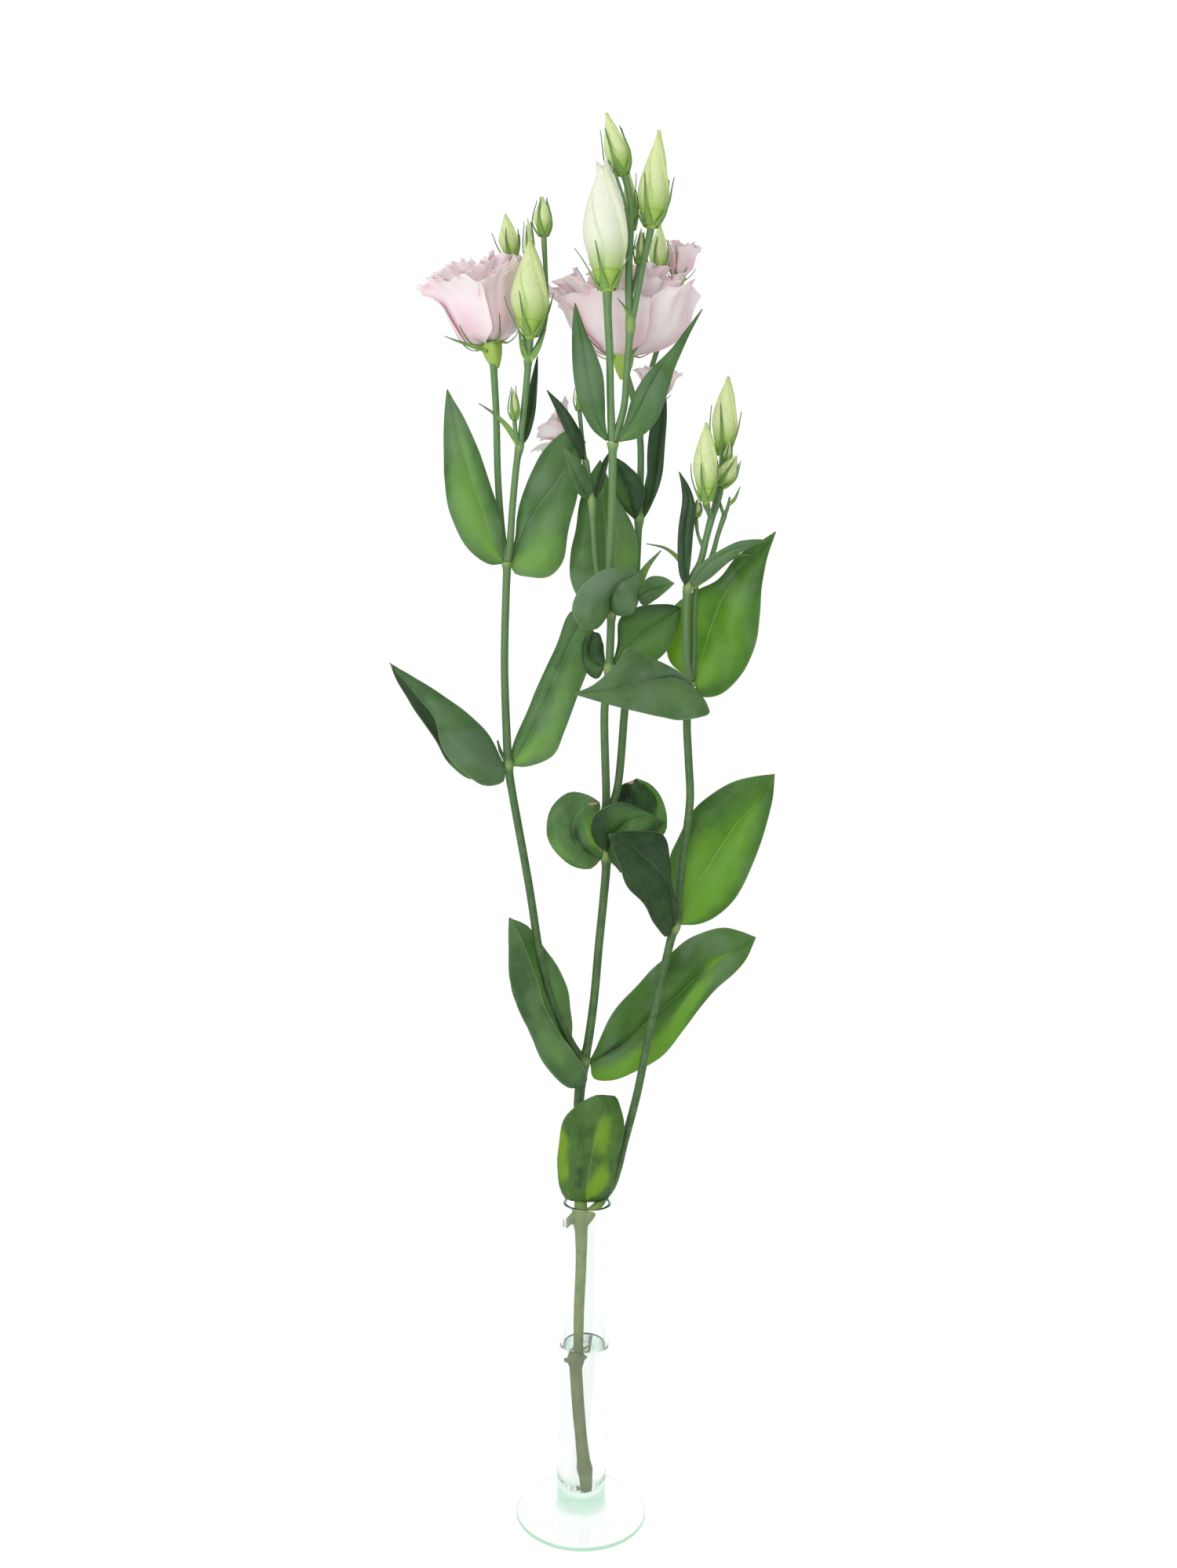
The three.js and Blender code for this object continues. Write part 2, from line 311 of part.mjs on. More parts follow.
// A bloom opens from its base towards its top. flatten narrows it front to back. Each layer is a ring
// of petals: its profile is [radius, height] from the base to the lip.
const BLOOMS = [
  { name: 'bloom_left', stalk: 'leftBloomStalk', base: [-45, 592, 6.6], top: [-56, 641, 8],
    cup: 6.2, flatten: 0.9,
    layers: [
      { petals: 5, turn: 0.3, spread: 50, ruffle: 1.3, profile: [[2.5, 4], [17, 14], [21, 30], [25.5, 41]] },
      { petals: 4, turn: 0.9, spread: 54, ruffle: 1.2, profile: [[2, 6], [11, 18], [14.5, 32], [17, 46]] },
      { petals: 3, turn: 0.2, spread: 60, ruffle: 1, profile: [[1.6, 8], [5.6, 20], [7, 34], [9, 48]] },
    ] },
  { name: 'bloom_centre', stalk: 'back', base: [21.6, 586.6, 20.4], top: [20, 635, 18],
    cup: 6.4, flatten: 0.78,
    layers: [
      { petals: 5, turn: 0.55, spread: 48, ruffle: 2, profile: [[2.5, 4], [14, 14], [25, 30], [35.5, 43]] },
      { petals: 4, turn: 0.1, spread: 54, ruffle: 1.8, profile: [[2, 6], [10, 20], [17, 36], [23, 49]] },
      { petals: 3, turn: 0.4, spread: 58, ruffle: 1.4, profile: [[1.6, 8], [6, 24], [9, 38], [12, 50]] },
    ] },
  { name: 'bloom_far', stalk: 'farStalk', base: [49.4, 628, 58], top: [53, 650.4, 58],
    cup: 4.4, flatten: 1,
    layers: [
      { petals: 4, turn: 0.2, spread: 56, ruffle: 0.8, profile: [[2, 2], [6.4, 8], [7.4, 16], [8, 22]] },
      { petals: 2, turn: 0.8, spread: 80, ruffle: 0.6, profile: [[1, 4], [3.2, 10], [3.6, 18], [4.6, 23]] },
    ] },
  { name: 'bloom_low_left', stalk: 'sideBloomStalk', base: [-2, 547.4, 6], top: [-20, 556, 12],
    cup: 3.6, flatten: 1,
    layers: [
      { petals: 5, turn: 0.1, spread: 44, ruffle: 1, profile: [[1.6, 2], [6, 7], [9.4, 13], [13, 18]] },
      { petals: 2, turn: 0.6, spread: 80, ruffle: 0.8, profile: [[1, 3], [3, 8], [4.6, 14], [6, 19]] },
    ] },
  { name: 'bloom_low_right', stalk: 'lowRightStalk', base: [37.8, 566, 24.6], top: [40, 584, 26.6],
    cup: 3.8, flatten: 1,
    layers: [
      { petals: 5, turn: 0.3, spread: 44, ruffle: 1, profile: [[1.6, 2], [6, 7], [8.6, 13], [10.4, 18]] },
      { petals: 2, turn: 0.8, spread: 80, ruffle: 0.8, profile: [[1, 3], [3, 8], [4.4, 14], [5.6, 20]] },
    ] },
];

// Turns a measured point of the front view into a place in the plant's own upright frame.
function place([across, up, depth]) {
  const spread = 1 + depth / EYE_DISTANCE;
  return new THREE.Vector3(
    EYE_ACROSS + (across - EYE_ACROSS) * spread,
    depth,
    EYE_UP + (up - EYE_UP) * spread,
  );
}

function geometryOf(points, indices) {
  const geometry = new THREE.BufferGeometry();
  geometry.setAttribute('position', new THREE.Float32BufferAttribute(points.flatMap((p) => p.toArray()), 3));
  geometry.setIndex(indices);
  return geometry;
}

// Turns a closed skin so that its faces point out.
function faceOut(geometry) {
  const position = geometry.getAttribute('position');
  const index = geometry.getIndex();
  const [a, b, c] = [0, 1, 2].map(() => new THREE.Vector3());
  let volume = 0;
  for (let corner = 0; corner < index.count; corner += 3) {
    a.fromBufferAttribute(position, index.getX(corner));
    b.fromBufferAttribute(position, index.getX(corner + 1));
    c.fromBufferAttribute(position, index.getX(corner + 2));
    volume += a.dot(b.cross(c));
  }
  if (volume < 0) index.array.reverse();
  return geometry;
}

function solidOf(geometry) {
  const bare = new THREE.BufferGeometry();
  bare.setAttribute('position', geometry.getAttribute('position'));
  bare.setIndex(geometry.getIndex());
  const merged = mergeVertices(bare, 1e-3);
  return new wasm.Manifold(new wasm.Mesh({
    numProp: 3,
    vertProperties: new Float32Array(merged.getAttribute('position').array),
    triVerts: new Uint32Array(merged.getIndex().array),
  }));
}

function geometryFrom(solid) {
  const mesh = solid.getMesh();
  const geometry = new THREE.BufferGeometry();
  geometry.setAttribute('position', new THREE.BufferAttribute(mesh.vertProperties, 3));
  geometry.setIndex(new THREE.BufferAttribute(mesh.triVerts, 1));
  return geometry;
}

function join(geometries) {
  return wasm.Manifold.union(geometries.map(solidOf));
}

// The largest body of a solid, so that a cut leaves no loose scrap.
function largest(solid) {
  const bodies = solid.decompose();
  return bodies.reduce((best, body) => (body.volume() > best.volume() ? body : best));
}

// A stem's rows, led on into the cup of the bud or bloom that it carries.
function rowsOf(stalk) {
  const rows = STEMS[stalk];
  const head = [...BUDS, ...BLOOMS].find((item) => item.stalk === stalk);
  if (!head) return rows;
  const seat = new THREE.Vector3(...head.base);
  const axis = new THREE.Vector3(...(head.tip ?? head.top)).sub(seat).normalize();
  return [...rows, [...seat.addScaledVector(axis, -GAP - CUP_SINK).toArray(), rows.at(-1)[3]]];
}

// Joins rings of equal count into one closed skin, with a fan over each end.
function loft(rings) {
  const sides = rings[0].length;
  const points = rings.flat();
  const indices = [];
  for (let ring = 0; ring < rings.length - 1; ring += 1) {
    for (let side = 0; side < sides; side += 1) {
      const next = (side + 1) % sides;
      const a = ring * sides + side;
      const b = ring * sides + next;
      indices.push(a, b, a + sides, b, b + sides, a + sides);
    }
  }
  const last = (rings.length - 1) * sides;
  for (let side = 1; side < sides - 1; side += 1) {
    indices.push(0, side + 1, side, last, last + side, last + side + 1);
  }
  return faceOut(geometryOf(points, indices));
}

// A ring round a centre, in the plane of two directions.
function ringAt(centre, first, second, radius, sides) {
  return Array.from({ length: sides }, (unused, side) => {
    const angle = (2 * Math.PI * side) / sides;
    return centre.clone()
      .addScaledVector(first, radius * Math.cos(angle))
      .addScaledVector(second, radius * Math.sin(angle));
  });
}

function sidesFor(radius) {
  return radius > TWIG_RADIUS ? STEM_SIDES : TWIG_SIDES;
}

// A round stem through its measured points, wider by extra.
function stemTube(rows, extra = 0) {
  const curve = new THREE.CatmullRomCurve3(rows.map(place), false, 'centripetal');
  const steps = rows.length - 1;
  const sides = sidesFor(Math.max(...rows.map((row) => row[3])));
  let first = new THREE.Vector3(0, 1, 0);
  const rings = rows.map((row, step) => {
    const centre = curve.getPoint(step / steps);
    const along = curve.getTangent(step / steps);
    const second = along.clone().cross(first).normalize();
    first = second.clone().cross(along).normalize();
    const reach = step === 0 ? -extra : step === steps ? extra : 0;
    return ringAt(centre.addScaledVector(along, reach), first, second, row[3] + extra, sides);
  });
  return loft(rings);
}

// A thin blade over a grid of points, split into triangles alike on both faces.
function blade(grid, thickness) {
  const rows = grid.length;
  const columns = grid[0].length;
  const within = (value, count) => Math.min(Math.max(value, 0), count - 1);
  const at = (row, column) => grid[within(row, rows)][within(column, columns)];
  const offset = grid.map((line, row) => line.map((point, column) => {
    const alongRib = at(row + 1, column).clone().sub(at(row - 1, column));
    const toRight = at(row, column + 1).clone().sub(point);
    const toLeft = point.clone().sub(at(row, column - 1));
    const faces = [toLeft, toRight].filter((side) => side.lengthSq() > 0)
      .map((side) => alongRib.clone().cross(side).normalize());
    const normal = faces.reduce((sum, face) => sum.add(face), new THREE.Vector3()).normalize();
    const mitre = Math.max(SHARPEST_MITRE, normal.dot(faces[0]));
    return normal.multiplyScalar(thickness / 2 / mitre);
  }));
  const skin = (side) => grid.flatMap((line, row) => line.map(
    (point, column) => point.clone().addScaledVector(offset[row][column], side),
  ));
  const front = skin(1);
  const back = skin(-1);
  const behind = front.length;
  const indices = [];
  for (let row = 0; row < rows - 1; row += 1) {
    for (let column = 0; column < columns - 1; column += 1) {
      const a = row * columns + column;
      const b = a + 1;
      const c = a + columns;
      const d = c + 1;
      indices.push(a, c, b, b, c, d);
      indices.push(behind + a, behind + b, behind + c, behind + b, behind + d, behind + c);
    }
  }
  const edge = [];
  for (let column = 0; column < columns - 1; column += 1) edge.push(column);
  for (let row = 0; row < rows - 1; row += 1) edge.push(row * columns + columns - 1);
  for (let column = columns - 1; column > 0; column -= 1) edge.push((rows - 1) * columns + column);
  for (let row = rows - 1; row > 0; row -= 1) edge.push(row * columns);
  edge.forEach((from, index) => {
    const to = edge[(index + 1) % edge.length];
    indices.push(from, to, behind + from, to, behind + to, behind + from);
  });
  return faceOut(geometryOf([...front, ...back], indices));
}

// How wide a leaf is at t along its rib, as a share of its widest: full near the base, then pointed.
function leafWidth(t, fullness) {
  const peak = fullness / (fullness + LEAF_TAPER);
  return (t / peak) ** fullness * ((1 - t) / (1 - peak)) ** LEAF_TAPER;
}

// The grid of a leaf's blade: each half is an arc that starts at the rib's angle and curls to its edge.
function leafGrid({ rib, halfWidth, right, left, curl, wave, fullness = LEAF_FULLNESS }) {
  const { steps, columns } = halfWidth < NARROW_LEAF ? NARROW_LEAF_GRID : LEAF_GRID;
  const curve = new THREE.CatmullRomCurve3(rib.map(place), false, 'centripetal');
  const grid = [];
  for (let step = 0; step <= steps; step += 1) {
    const t = step / steps;
    const centre = curve.getPointAt(t);
    const along = curve.getTangentAt(t);
    const across = new THREE.Vector3(along.z, 0, -along.x).normalize();
    const forward = across.clone().cross(along);
    const width = halfWidth * leafWidth(0.012 + 0.974 * t, fullness);
    const line = [];
    for (let column = -columns / 2; column <= columns / 2; column += 1) {
      const share = Math.abs(column) / (columns / 2);
      const half = column < 0 ? left : right;
      const bend = THREE.MathUtils.degToRad(column < 0 ? curl[1] : curl[0]);
      const start = THREE.MathUtils.degToRad(THREE.MathUtils.lerp(half[0], half[1], t));
      const middle = start + (bend * share) / 2;
      const out = width * share * Math.cos(middle) * Math.sign(column);
      const swell = Math.sin(9 * t + 2.2 * Math.sign(column)) * Math.sin(Math.PI * t);
      const ripple = wave * share * share * swell;
      line.push(centre.clone()
        .addScaledVector(across, out)
        .addScaledVector(forward, width * share * Math.sin(middle) + ripple));
    }
    grid.push(line);
  }
  return grid;
}

// A slim pointed blade with a three-sided section.
function bract({ rib, halfWidth }) {
  const curve = new THREE.CatmullRomCurve3(rib.map(place), false, 'centripetal');
  const rings = [0, 0.3, 0.6, 0.85, 1].map((t) => {
    const centre = curve.getPointAt(t);
    const along = curve.getTangentAt(t);
    const across = new THREE.Vector3(along.z, 0, -along.x).normalize();
    const forward = across.clone().cross(along);
    const width = Math.max(0.3, halfWidth * (t < 0.3 ? 0.7 + t : 1.25 * (1.1 - t)));
    return [
      centre.clone().addScaledVector(across, -width).addScaledVector(forward, 0.25),
      centre.clone().addScaledVector(forward, -0.65),
      centre.clone().addScaledVector(across, width).addScaledVector(forward, 0.25),
    ];
  });
  return loft(rings);
}

// The frame of a bud or bloom: its base, its axis and two directions across it.
function axisFrame(base, tip) {
  const origin = place(base);
  const along = place(tip).sub(origin);
  const length = along.length();
  along.normalize();
  const first = new THREE.Vector3(1, 0, 0).cross(along).cross(along).negate().normalize();
  const second = along.clone().cross(first).normalize();
  return { origin, along, length, first, second };
}

function around(frame, radius, angle, height, flatten = 1) {
  return frame.origin.clone()
    .addScaledVector(frame.along, height)
    .addScaledVector(frame.first, radius * Math.cos(angle))
    .addScaledVector(frame.second, radius * Math.sin(angle) * flatten);
}

// A bud's radius at t along its axis, as a share of its widest.
function budRadius(t, widest) {
  if (t < widest) return 0.34 + 0.66 * Math.sin((Math.PI / 2) * (t / widest));
  return Math.max(0.07, Math.cos((Math.PI / 2) * ((t - widest) / (1 - widest))) ** 0.9);
}

// The furled corolla, with its five petals wound round each other.
function budBody({ base, tip, radius, widest }) {
  const frame = axisFrame(base, tip);
  const small = radius < SMALL_BUD.radius;
  const steps = small ? SMALL_BUD.rings : BUD_RINGS;
  const sides = small ? SMALL_BUD.sides : BUD_SIDES;
  const rings = [];
  for (let step = 0; step <= steps; step += 1) {
    const t = step / steps;
    const ring = [];
    for (let side = 0; side < sides; side += 1) {
      const angle = (2 * Math.PI * side) / sides + BUD_TWIST * t;
      const fold = 1 - (side % 2 ? BUD_FOLD * 2 * Math.min(1, 3 * t) : 0);
      ring.push(around(frame, radius * budRadius(t, widest) * fold, angle, frame.length * t));
    }
    rings.push(ring);
  }
  return loft(rings);
}

// The five sepals that stand round a bud, clear of it, with thin free ends.
function budCalyx({ base, tip, radius, widest, reach, splay }) {
  const frame = axisFrame(base, tip);
  const seat = radius * budRadius(0, widest);
  const cupRadius = seat + GAP + SEPAL_THICKNESS + 0.7;
  const depth = Math.min(3.2, 0.5 * cupRadius + 1);
  const parts = [loft([
    ringAt(around(frame, 0, 0, -GAP - depth), frame.first, frame.second, cupRadius * 0.6, CUP_SIDES),
    ringAt(around(frame, 0, 0, -GAP), frame.first, frame.second, cupRadius, CUP_SIDES),
  ])];
  const sepals = radius < SMALL_BUD.radius ? 0 : SEPALS;
  for (let sepal = 0; sepal < sepals; sepal += 1) {
    const angle = (2 * Math.PI * sepal) / SEPALS;
    const rings = [-0.05, 0.28, 0.62, 1].map((t) => {
      const height = t < 0 ? -GAP - 0.4 : frame.length * reach * t;
      const hug = radius * budRadius(Math.max(0, Math.min(1, reach * t)), widest);
      const clear = Math.max(hug, seat) + GAP + 0.06 * radius * Math.sin(Math.PI * Math.max(0, t));
      const inner = clear + splay * radius * Math.max(0, t) ** 3;
      const width = Math.min(0.42 * cupRadius, 2.2) * (t < 0.2 ? 1 : 1.22 * (1.02 - t)) + 0.16;
      const turn = Math.min(width / inner, SEPAL_HALF_TURN);
      return [
        around(frame, inner, angle - turn, height),
        around(frame, inner, angle + turn, height),
        around(frame, inner + SEPAL_THICKNESS * (1.1 - 0.6 * Math.max(0, t)), angle, height),
      ];
    });
    parts.push(loft(rings));
  }
  return parts;
}

// The curve of a petal's middle, as radius and height on the bloom's axis.
function profileCurve(layer) {
  return new THREE.SplineCurve(layer.profile.map(([radius, height]) => new THREE.Vector2(radius, height)));
}

// One petal: it wraps round the bloom's axis and widens towards a rounded, waved lip.
function petal(frame, flatten, layer, angle, length) {
  const curve = profileCurve(layer);
  const { steps, columns } = length < SMALL_BLOOM ? SMALL_PETAL_GRID : PETAL_GRID;
  const grid = [];
  for (let step = 0; step <= steps; step += 1) {
    const t = step / steps;
    const point = curve.getPoint(t);
    const spread = THREE.MathUtils.degToRad(layer.spread) * (t === 0 ? 0.24 : 0.95 - 0.2 * t);
    const line = [];
    for (let column = 0; column <= columns; column += 1) {
      const share = (2 * column) / columns - 1;
      const turn = angle + spread * share;
      const ripple = layer.ruffle * t * t * Math.sin(7 * turn);
      const drop = length * 0.09 * t * share * share;
      line.push(around(frame, point.x + ripple + PETAL_OVERLAP * share, turn, point.y - drop, flatten));
    }
    grid.push(line);
  }
  return blade(grid, PETAL_THICKNESS);
}

function bloomBody({ base, top, cup, flatten, layers }) {
  const frame = axisFrame(base, top);
  const heart = [[0.6, 0], [0.8, 0.18], [0.4, 0.46]].map(([wide, high]) => ringAt(
    around(frame, 0, 0, high * frame.length), frame.first, frame.second, wide * cup, TWIG_SIDES,
  ));
  const parts = [loft(heart)];
  layers.forEach((layer) => {
    for (let index = 0; index < layer.petals; index += 1) {
      const angle = 2 * Math.PI * (index + layer.turn) / layer.petals;
      parts.push(petal(frame, flatten, layer, angle, frame.length));
    }
  });
  return parts;
}

// The green cup under a bloom, with five narrow sepals that spread under its petals.
function bloomCalyx({ base, top, cup, flatten, layers }) {
  const frame = axisFrame(base, top);
  const depth = cup * 1.1;
  const parts = [loft([
    ringAt(around(frame, 0, 0, -GAP - depth), frame.first, frame.second, cup * 0.45, CUP_SIDES),
    ringAt(around(frame, 0, 0, -GAP - depth * 0.5), frame.first, frame.second, cup * 0.74, CUP_SIDES),
    ringAt(around(frame, 0, 0, -GAP), frame.first, frame.second, cup * 0.88, CUP_SIDES),
  ])];
  const under = profileCurve(layers[0]);
  const sepals = cup < SMALL_CUP ? 0 : SEPALS;
  for (let sepal = 0; sepal < sepals; sepal += 1) {
    const angle = (2 * Math.PI * (sepal + 0.1)) / SEPALS;
    const rings = [0, 0.35, 1].map((t) => {
      const skin = under.getPoint(0.12 + 0.55 * t);
      const radius = t === 0 ? cup * 0.72 : Math.max(cup * 0.86, skin.x) + 3.2;
      const height = t === 0 ? -1.4 : skin.y - 3.2 + 1.6 * t;
      const turn = (t === 0 ? 1.3 : 1.25 * (1.1 - t) + 0.12) / Math.max(radius, 1);
      return [
        around(frame, radius, angle - turn, height, flatten),
        around(frame, radius, angle + turn, height, flatten),
        around(frame, radius + 0.5, angle, height - 0.75, flatten),
      ];
    });
    parts.push(loft(rings));
  }
  return parts;
}

// A closed shape turned about the upright axis from its [radius, height] profile.
function turned(profile) {
  const outline = profile.map(([radius, height]) => new THREE.Vector2(radius, height));
  return new THREE.LatheGeometry(outline, VASE_SIDES).rotateX(Math.PI / 2);
}

function vaseShape() {
  const top = TUBE_TOP_RADIUS;
  const bottom = TUBE_BOTTOM_RADIUS;
  const inside = bottom - GLASS_WALL;
  const foot = [
    [0, 0], [FOOT_RADIUS - 1.4, 0], [FOOT_RADIUS - 0.3, 0.7], [FOOT_RADIUS, FOOT_EDGE / 2],
    [FOOT_RADIUS - 0.6, FOOT_EDGE - 0.4], [FOOT_RADIUS - 2, FOOT_EDGE], [26, 3.7], [20, 4.9],
    [16, 6.4], [bottom + 0.9, TUBE_START - 1.6], [bottom, TUBE_START + 0.6],
  ];
  const rim = [
    [top, RIM_HEIGHT - 0.9], [top - 0.4, RIM_HEIGHT - 0.1],
    [top - GLASS_WALL + 0.4, RIM_HEIGHT - 0.1], [top - GLASS_WALL, RIM_HEIGHT - 0.9],
  ];
  const bowl = [[inside, 20], [inside - 1.2, 15.6], [inside - 4, 13.2], [0, INNER_FLOOR - 0.1]];
  return turned([...foot, [bottom, TAPER_START], ...rim, [inside, TAPER_START], ...bowl]);
}

// The water fills the tube below its level and leaves a hole for the stem.
function waterShape(stems) {
  const inside = TUBE_BOTTOM_RADIUS - GLASS_WALL - GAP - 0.1;
  const slope = (TUBE_BOTTOM_RADIUS - TUBE_TOP_RADIUS) / (RIM_HEIGHT - TAPER_START);
  const profile = [
    [0, INNER_FLOOR + GAP], [inside - 3.9, 13.2 + 1.2 * GAP], [inside - 1.1, 15.8 + GAP], [inside, 20],
    [inside, TAPER_START], [inside - slope * (WATER_LEVEL - TAPER_START), WATER_LEVEL], [0, WATER_LEVEL],
  ];
  const hole = geometryFrom(stems).applyMatrix4(new THREE.Matrix4().makeRotationY(LEAN));
  return geometryFrom(largest(solidOf(turned(profile)).subtract(solidOf(hole))));
}

function piece(name, geometry, colour, roughness, extra = {}) {
  const finish = new THREE.MeshStandardMaterial({ color: colour, roughness, metalness: 0, ...extra });
  const mesh = new THREE.Mesh(geometry, finish);
  mesh.name = name;
  return mesh;
}

function buildPlant(thickStems) {
  const plant = new THREE.Group();
  plant.name = 'plant';
  const grown = [
    ...Object.keys(STEMS).map((name) => stemTube(rowsOf(name))),
    ...BRACTS.map(bract),
    ...BUDS.flatMap(budCalyx),
    ...BLOOMS.flatMap(bloomCalyx),
  ];
  plant.add(piece('stem', geometryFrom(largest(join(grown))), GREEN_STEM, 0.55));
  LEAVES.forEach((leaf) => {
    const whole = solidOf(blade(leafGrid(leaf), LEAF_THICKNESS));
    plant.add(piece(leaf.name, geometryFrom(largest(whole.subtract(thickStems))), leaf.colour, 0.5));
  });
  BUDS.forEach((bud) => plant.add(piece(bud.name, budBody(bud), bud.colour, 0.5)));
  BLOOMS.forEach((bloom) => {
    plant.add(piece(bloom.name, geometryFrom(largest(join(bloomBody(bloom)))), PETAL_PINK, 0.6));
  });
  plant.rotation.y = LEAN;
  return plant;
}

function buildVase(thickStems) {
  const group = new THREE.Group();
  group.name = 'filled_vase';
  group.add(piece('vase', vaseShape(), GLASS_TINT, 0.05, { transparent: true, opacity: 0.35 }));
  group.add(piece('water', waterShape(thickStems), WATER_TINT, 0.02, { transparent: true, opacity: 0.3 }));
  return group;
}

const thickStems = join(Object.keys(STEMS).map((name) => stemTube(rowsOf(name), GAP)));
const lisianthus = new THREE.Group();
lisianthus.name = 'lisianthus_in_vase';
lisianthus.add(buildVase(thickStems), buildPlant(thickStems));

export default lisianthus;
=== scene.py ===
"""A cut lisianthus in a clear glass bud vase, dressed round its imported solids.

Lengths are typed in millimetres. The plant is measured in one front view, as [across, up, depth], and
View turns such a point into a place in the part's own frame, in metres.
"""

from __future__ import annotations

import logging
import math
from dataclasses import dataclass
from enum import Enum

import bpy
import numpy as np
from mathutils import Matrix, Vector

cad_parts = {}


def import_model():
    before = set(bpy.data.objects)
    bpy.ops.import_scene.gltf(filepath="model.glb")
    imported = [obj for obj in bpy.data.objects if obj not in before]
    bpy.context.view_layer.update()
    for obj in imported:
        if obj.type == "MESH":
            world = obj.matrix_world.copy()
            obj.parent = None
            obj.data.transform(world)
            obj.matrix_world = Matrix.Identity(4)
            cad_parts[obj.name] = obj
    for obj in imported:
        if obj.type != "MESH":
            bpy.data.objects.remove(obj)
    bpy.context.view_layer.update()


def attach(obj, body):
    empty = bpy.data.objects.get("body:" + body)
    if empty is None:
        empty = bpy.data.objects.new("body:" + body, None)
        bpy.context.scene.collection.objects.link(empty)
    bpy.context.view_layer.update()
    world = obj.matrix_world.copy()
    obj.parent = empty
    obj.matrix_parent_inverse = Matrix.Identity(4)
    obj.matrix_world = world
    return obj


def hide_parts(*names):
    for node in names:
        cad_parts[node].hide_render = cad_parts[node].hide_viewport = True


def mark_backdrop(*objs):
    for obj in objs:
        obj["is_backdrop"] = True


logging.basicConfig(level=logging.INFO, format="%(message)s")
LOG = logging.getLogger("lisianthus")

Points = np.ndarray
Pair = tuple[float, float]
Place = tuple[float, float, float]
Run = tuple[Place, ...]
Rows = tuple[tuple[float, float, float, float], ...]
Tree = bpy.types.NodeTree
Socket = bpy.types.NodeSocket
Material = bpy.types.Material
Object = bpy.types.Object

MM = 0.001
FULL_TURN = 2 * math.pi
WHITE = (1.0, 1.0, 1.0, 1.0)

# The clearance that the solids keep between two pieces, and the depth of a stalk's end in its cup.
GAP = 0.3
CUP_SINK = 0.8

# Inputs and output of a Mix node that mixes colours.
MIX_A = 6
MIX_B = 7
MIXED = 2


class Tint(Enum):
    """How light falls on a leaf in the front view, with its slot of the record and its wax's name: each tint
    is a copy of one wax, painted with the light and shade that fall on the leaf.
    """

    LEAF = ("leaf_green", "leaf_wax")
    PALE = ("leaf_green", "leaf_wax_pale")
    SUNNY = ("leaf_green", "leaf_wax_sunny")
    BRIGHT = ("leaf_bright", "leaf_wax_lit")
    DARK = ("leaf_dark", "leaf_wax_shaded")


@dataclass(frozen=True)
class Leaf:
    """One blade: its rib from base to tip, the run of each edge between them, and its edges' waves.

    Its lit spots are [share of length, side, radius, strength]: painted light, where light shines
    through them, and where the strength is below 0, painted shade in a fold. Its dry spots are given in
    the same way.
    """

    name: str
    wave: float
    tint: Tint
    rib: Run
    right: Run
    left: Run
    lit: Rows = ()
    dry: Rows = ()


@dataclass(frozen=True)
class Bract:
    """A slim pointed green blade."""

    rib: Run
    half_width: float


@dataclass(frozen=True)
class Bud:
    """A furled bud between its base and its tip, widest at a share of its length.

    Its sepals reach to a share of its length and splay by a share of its radius. Blunt says how full
    the bud stays above its widest place, and top how wide its tip is, as a share of its radius.
    """

    name: str
    stalk: str
    base: Place
    tip: Place
    radius: float
    widest: float
    reach: float
    splay: float
    blunt: float = 1.35
    top: float = 0.14


@dataclass(frozen=True)
class Layer:
    """A ring of petals, with its middle line as [radius, height] on the bloom's axis.

    Turn is how far the ring is turned, as a share of a petal, and spread half of a petal's width in
    degrees.
    """

    petals: int
    turn: float
    spread: float
    ruffle: float
    profile: tuple[Pair, ...]


@dataclass(frozen=True)
class Bloom:
    """An open bloom, from its base towards its tip, narrowed front to back by flatten.

    Its right side may be fuller than its left, by a belly in millimetres.
    """

    name: str
    stalk: str
    base: Place
    tip: Place
    cup: float
    flatten: float
    layers: tuple[Layer, ...]
    belly: float = 0.0


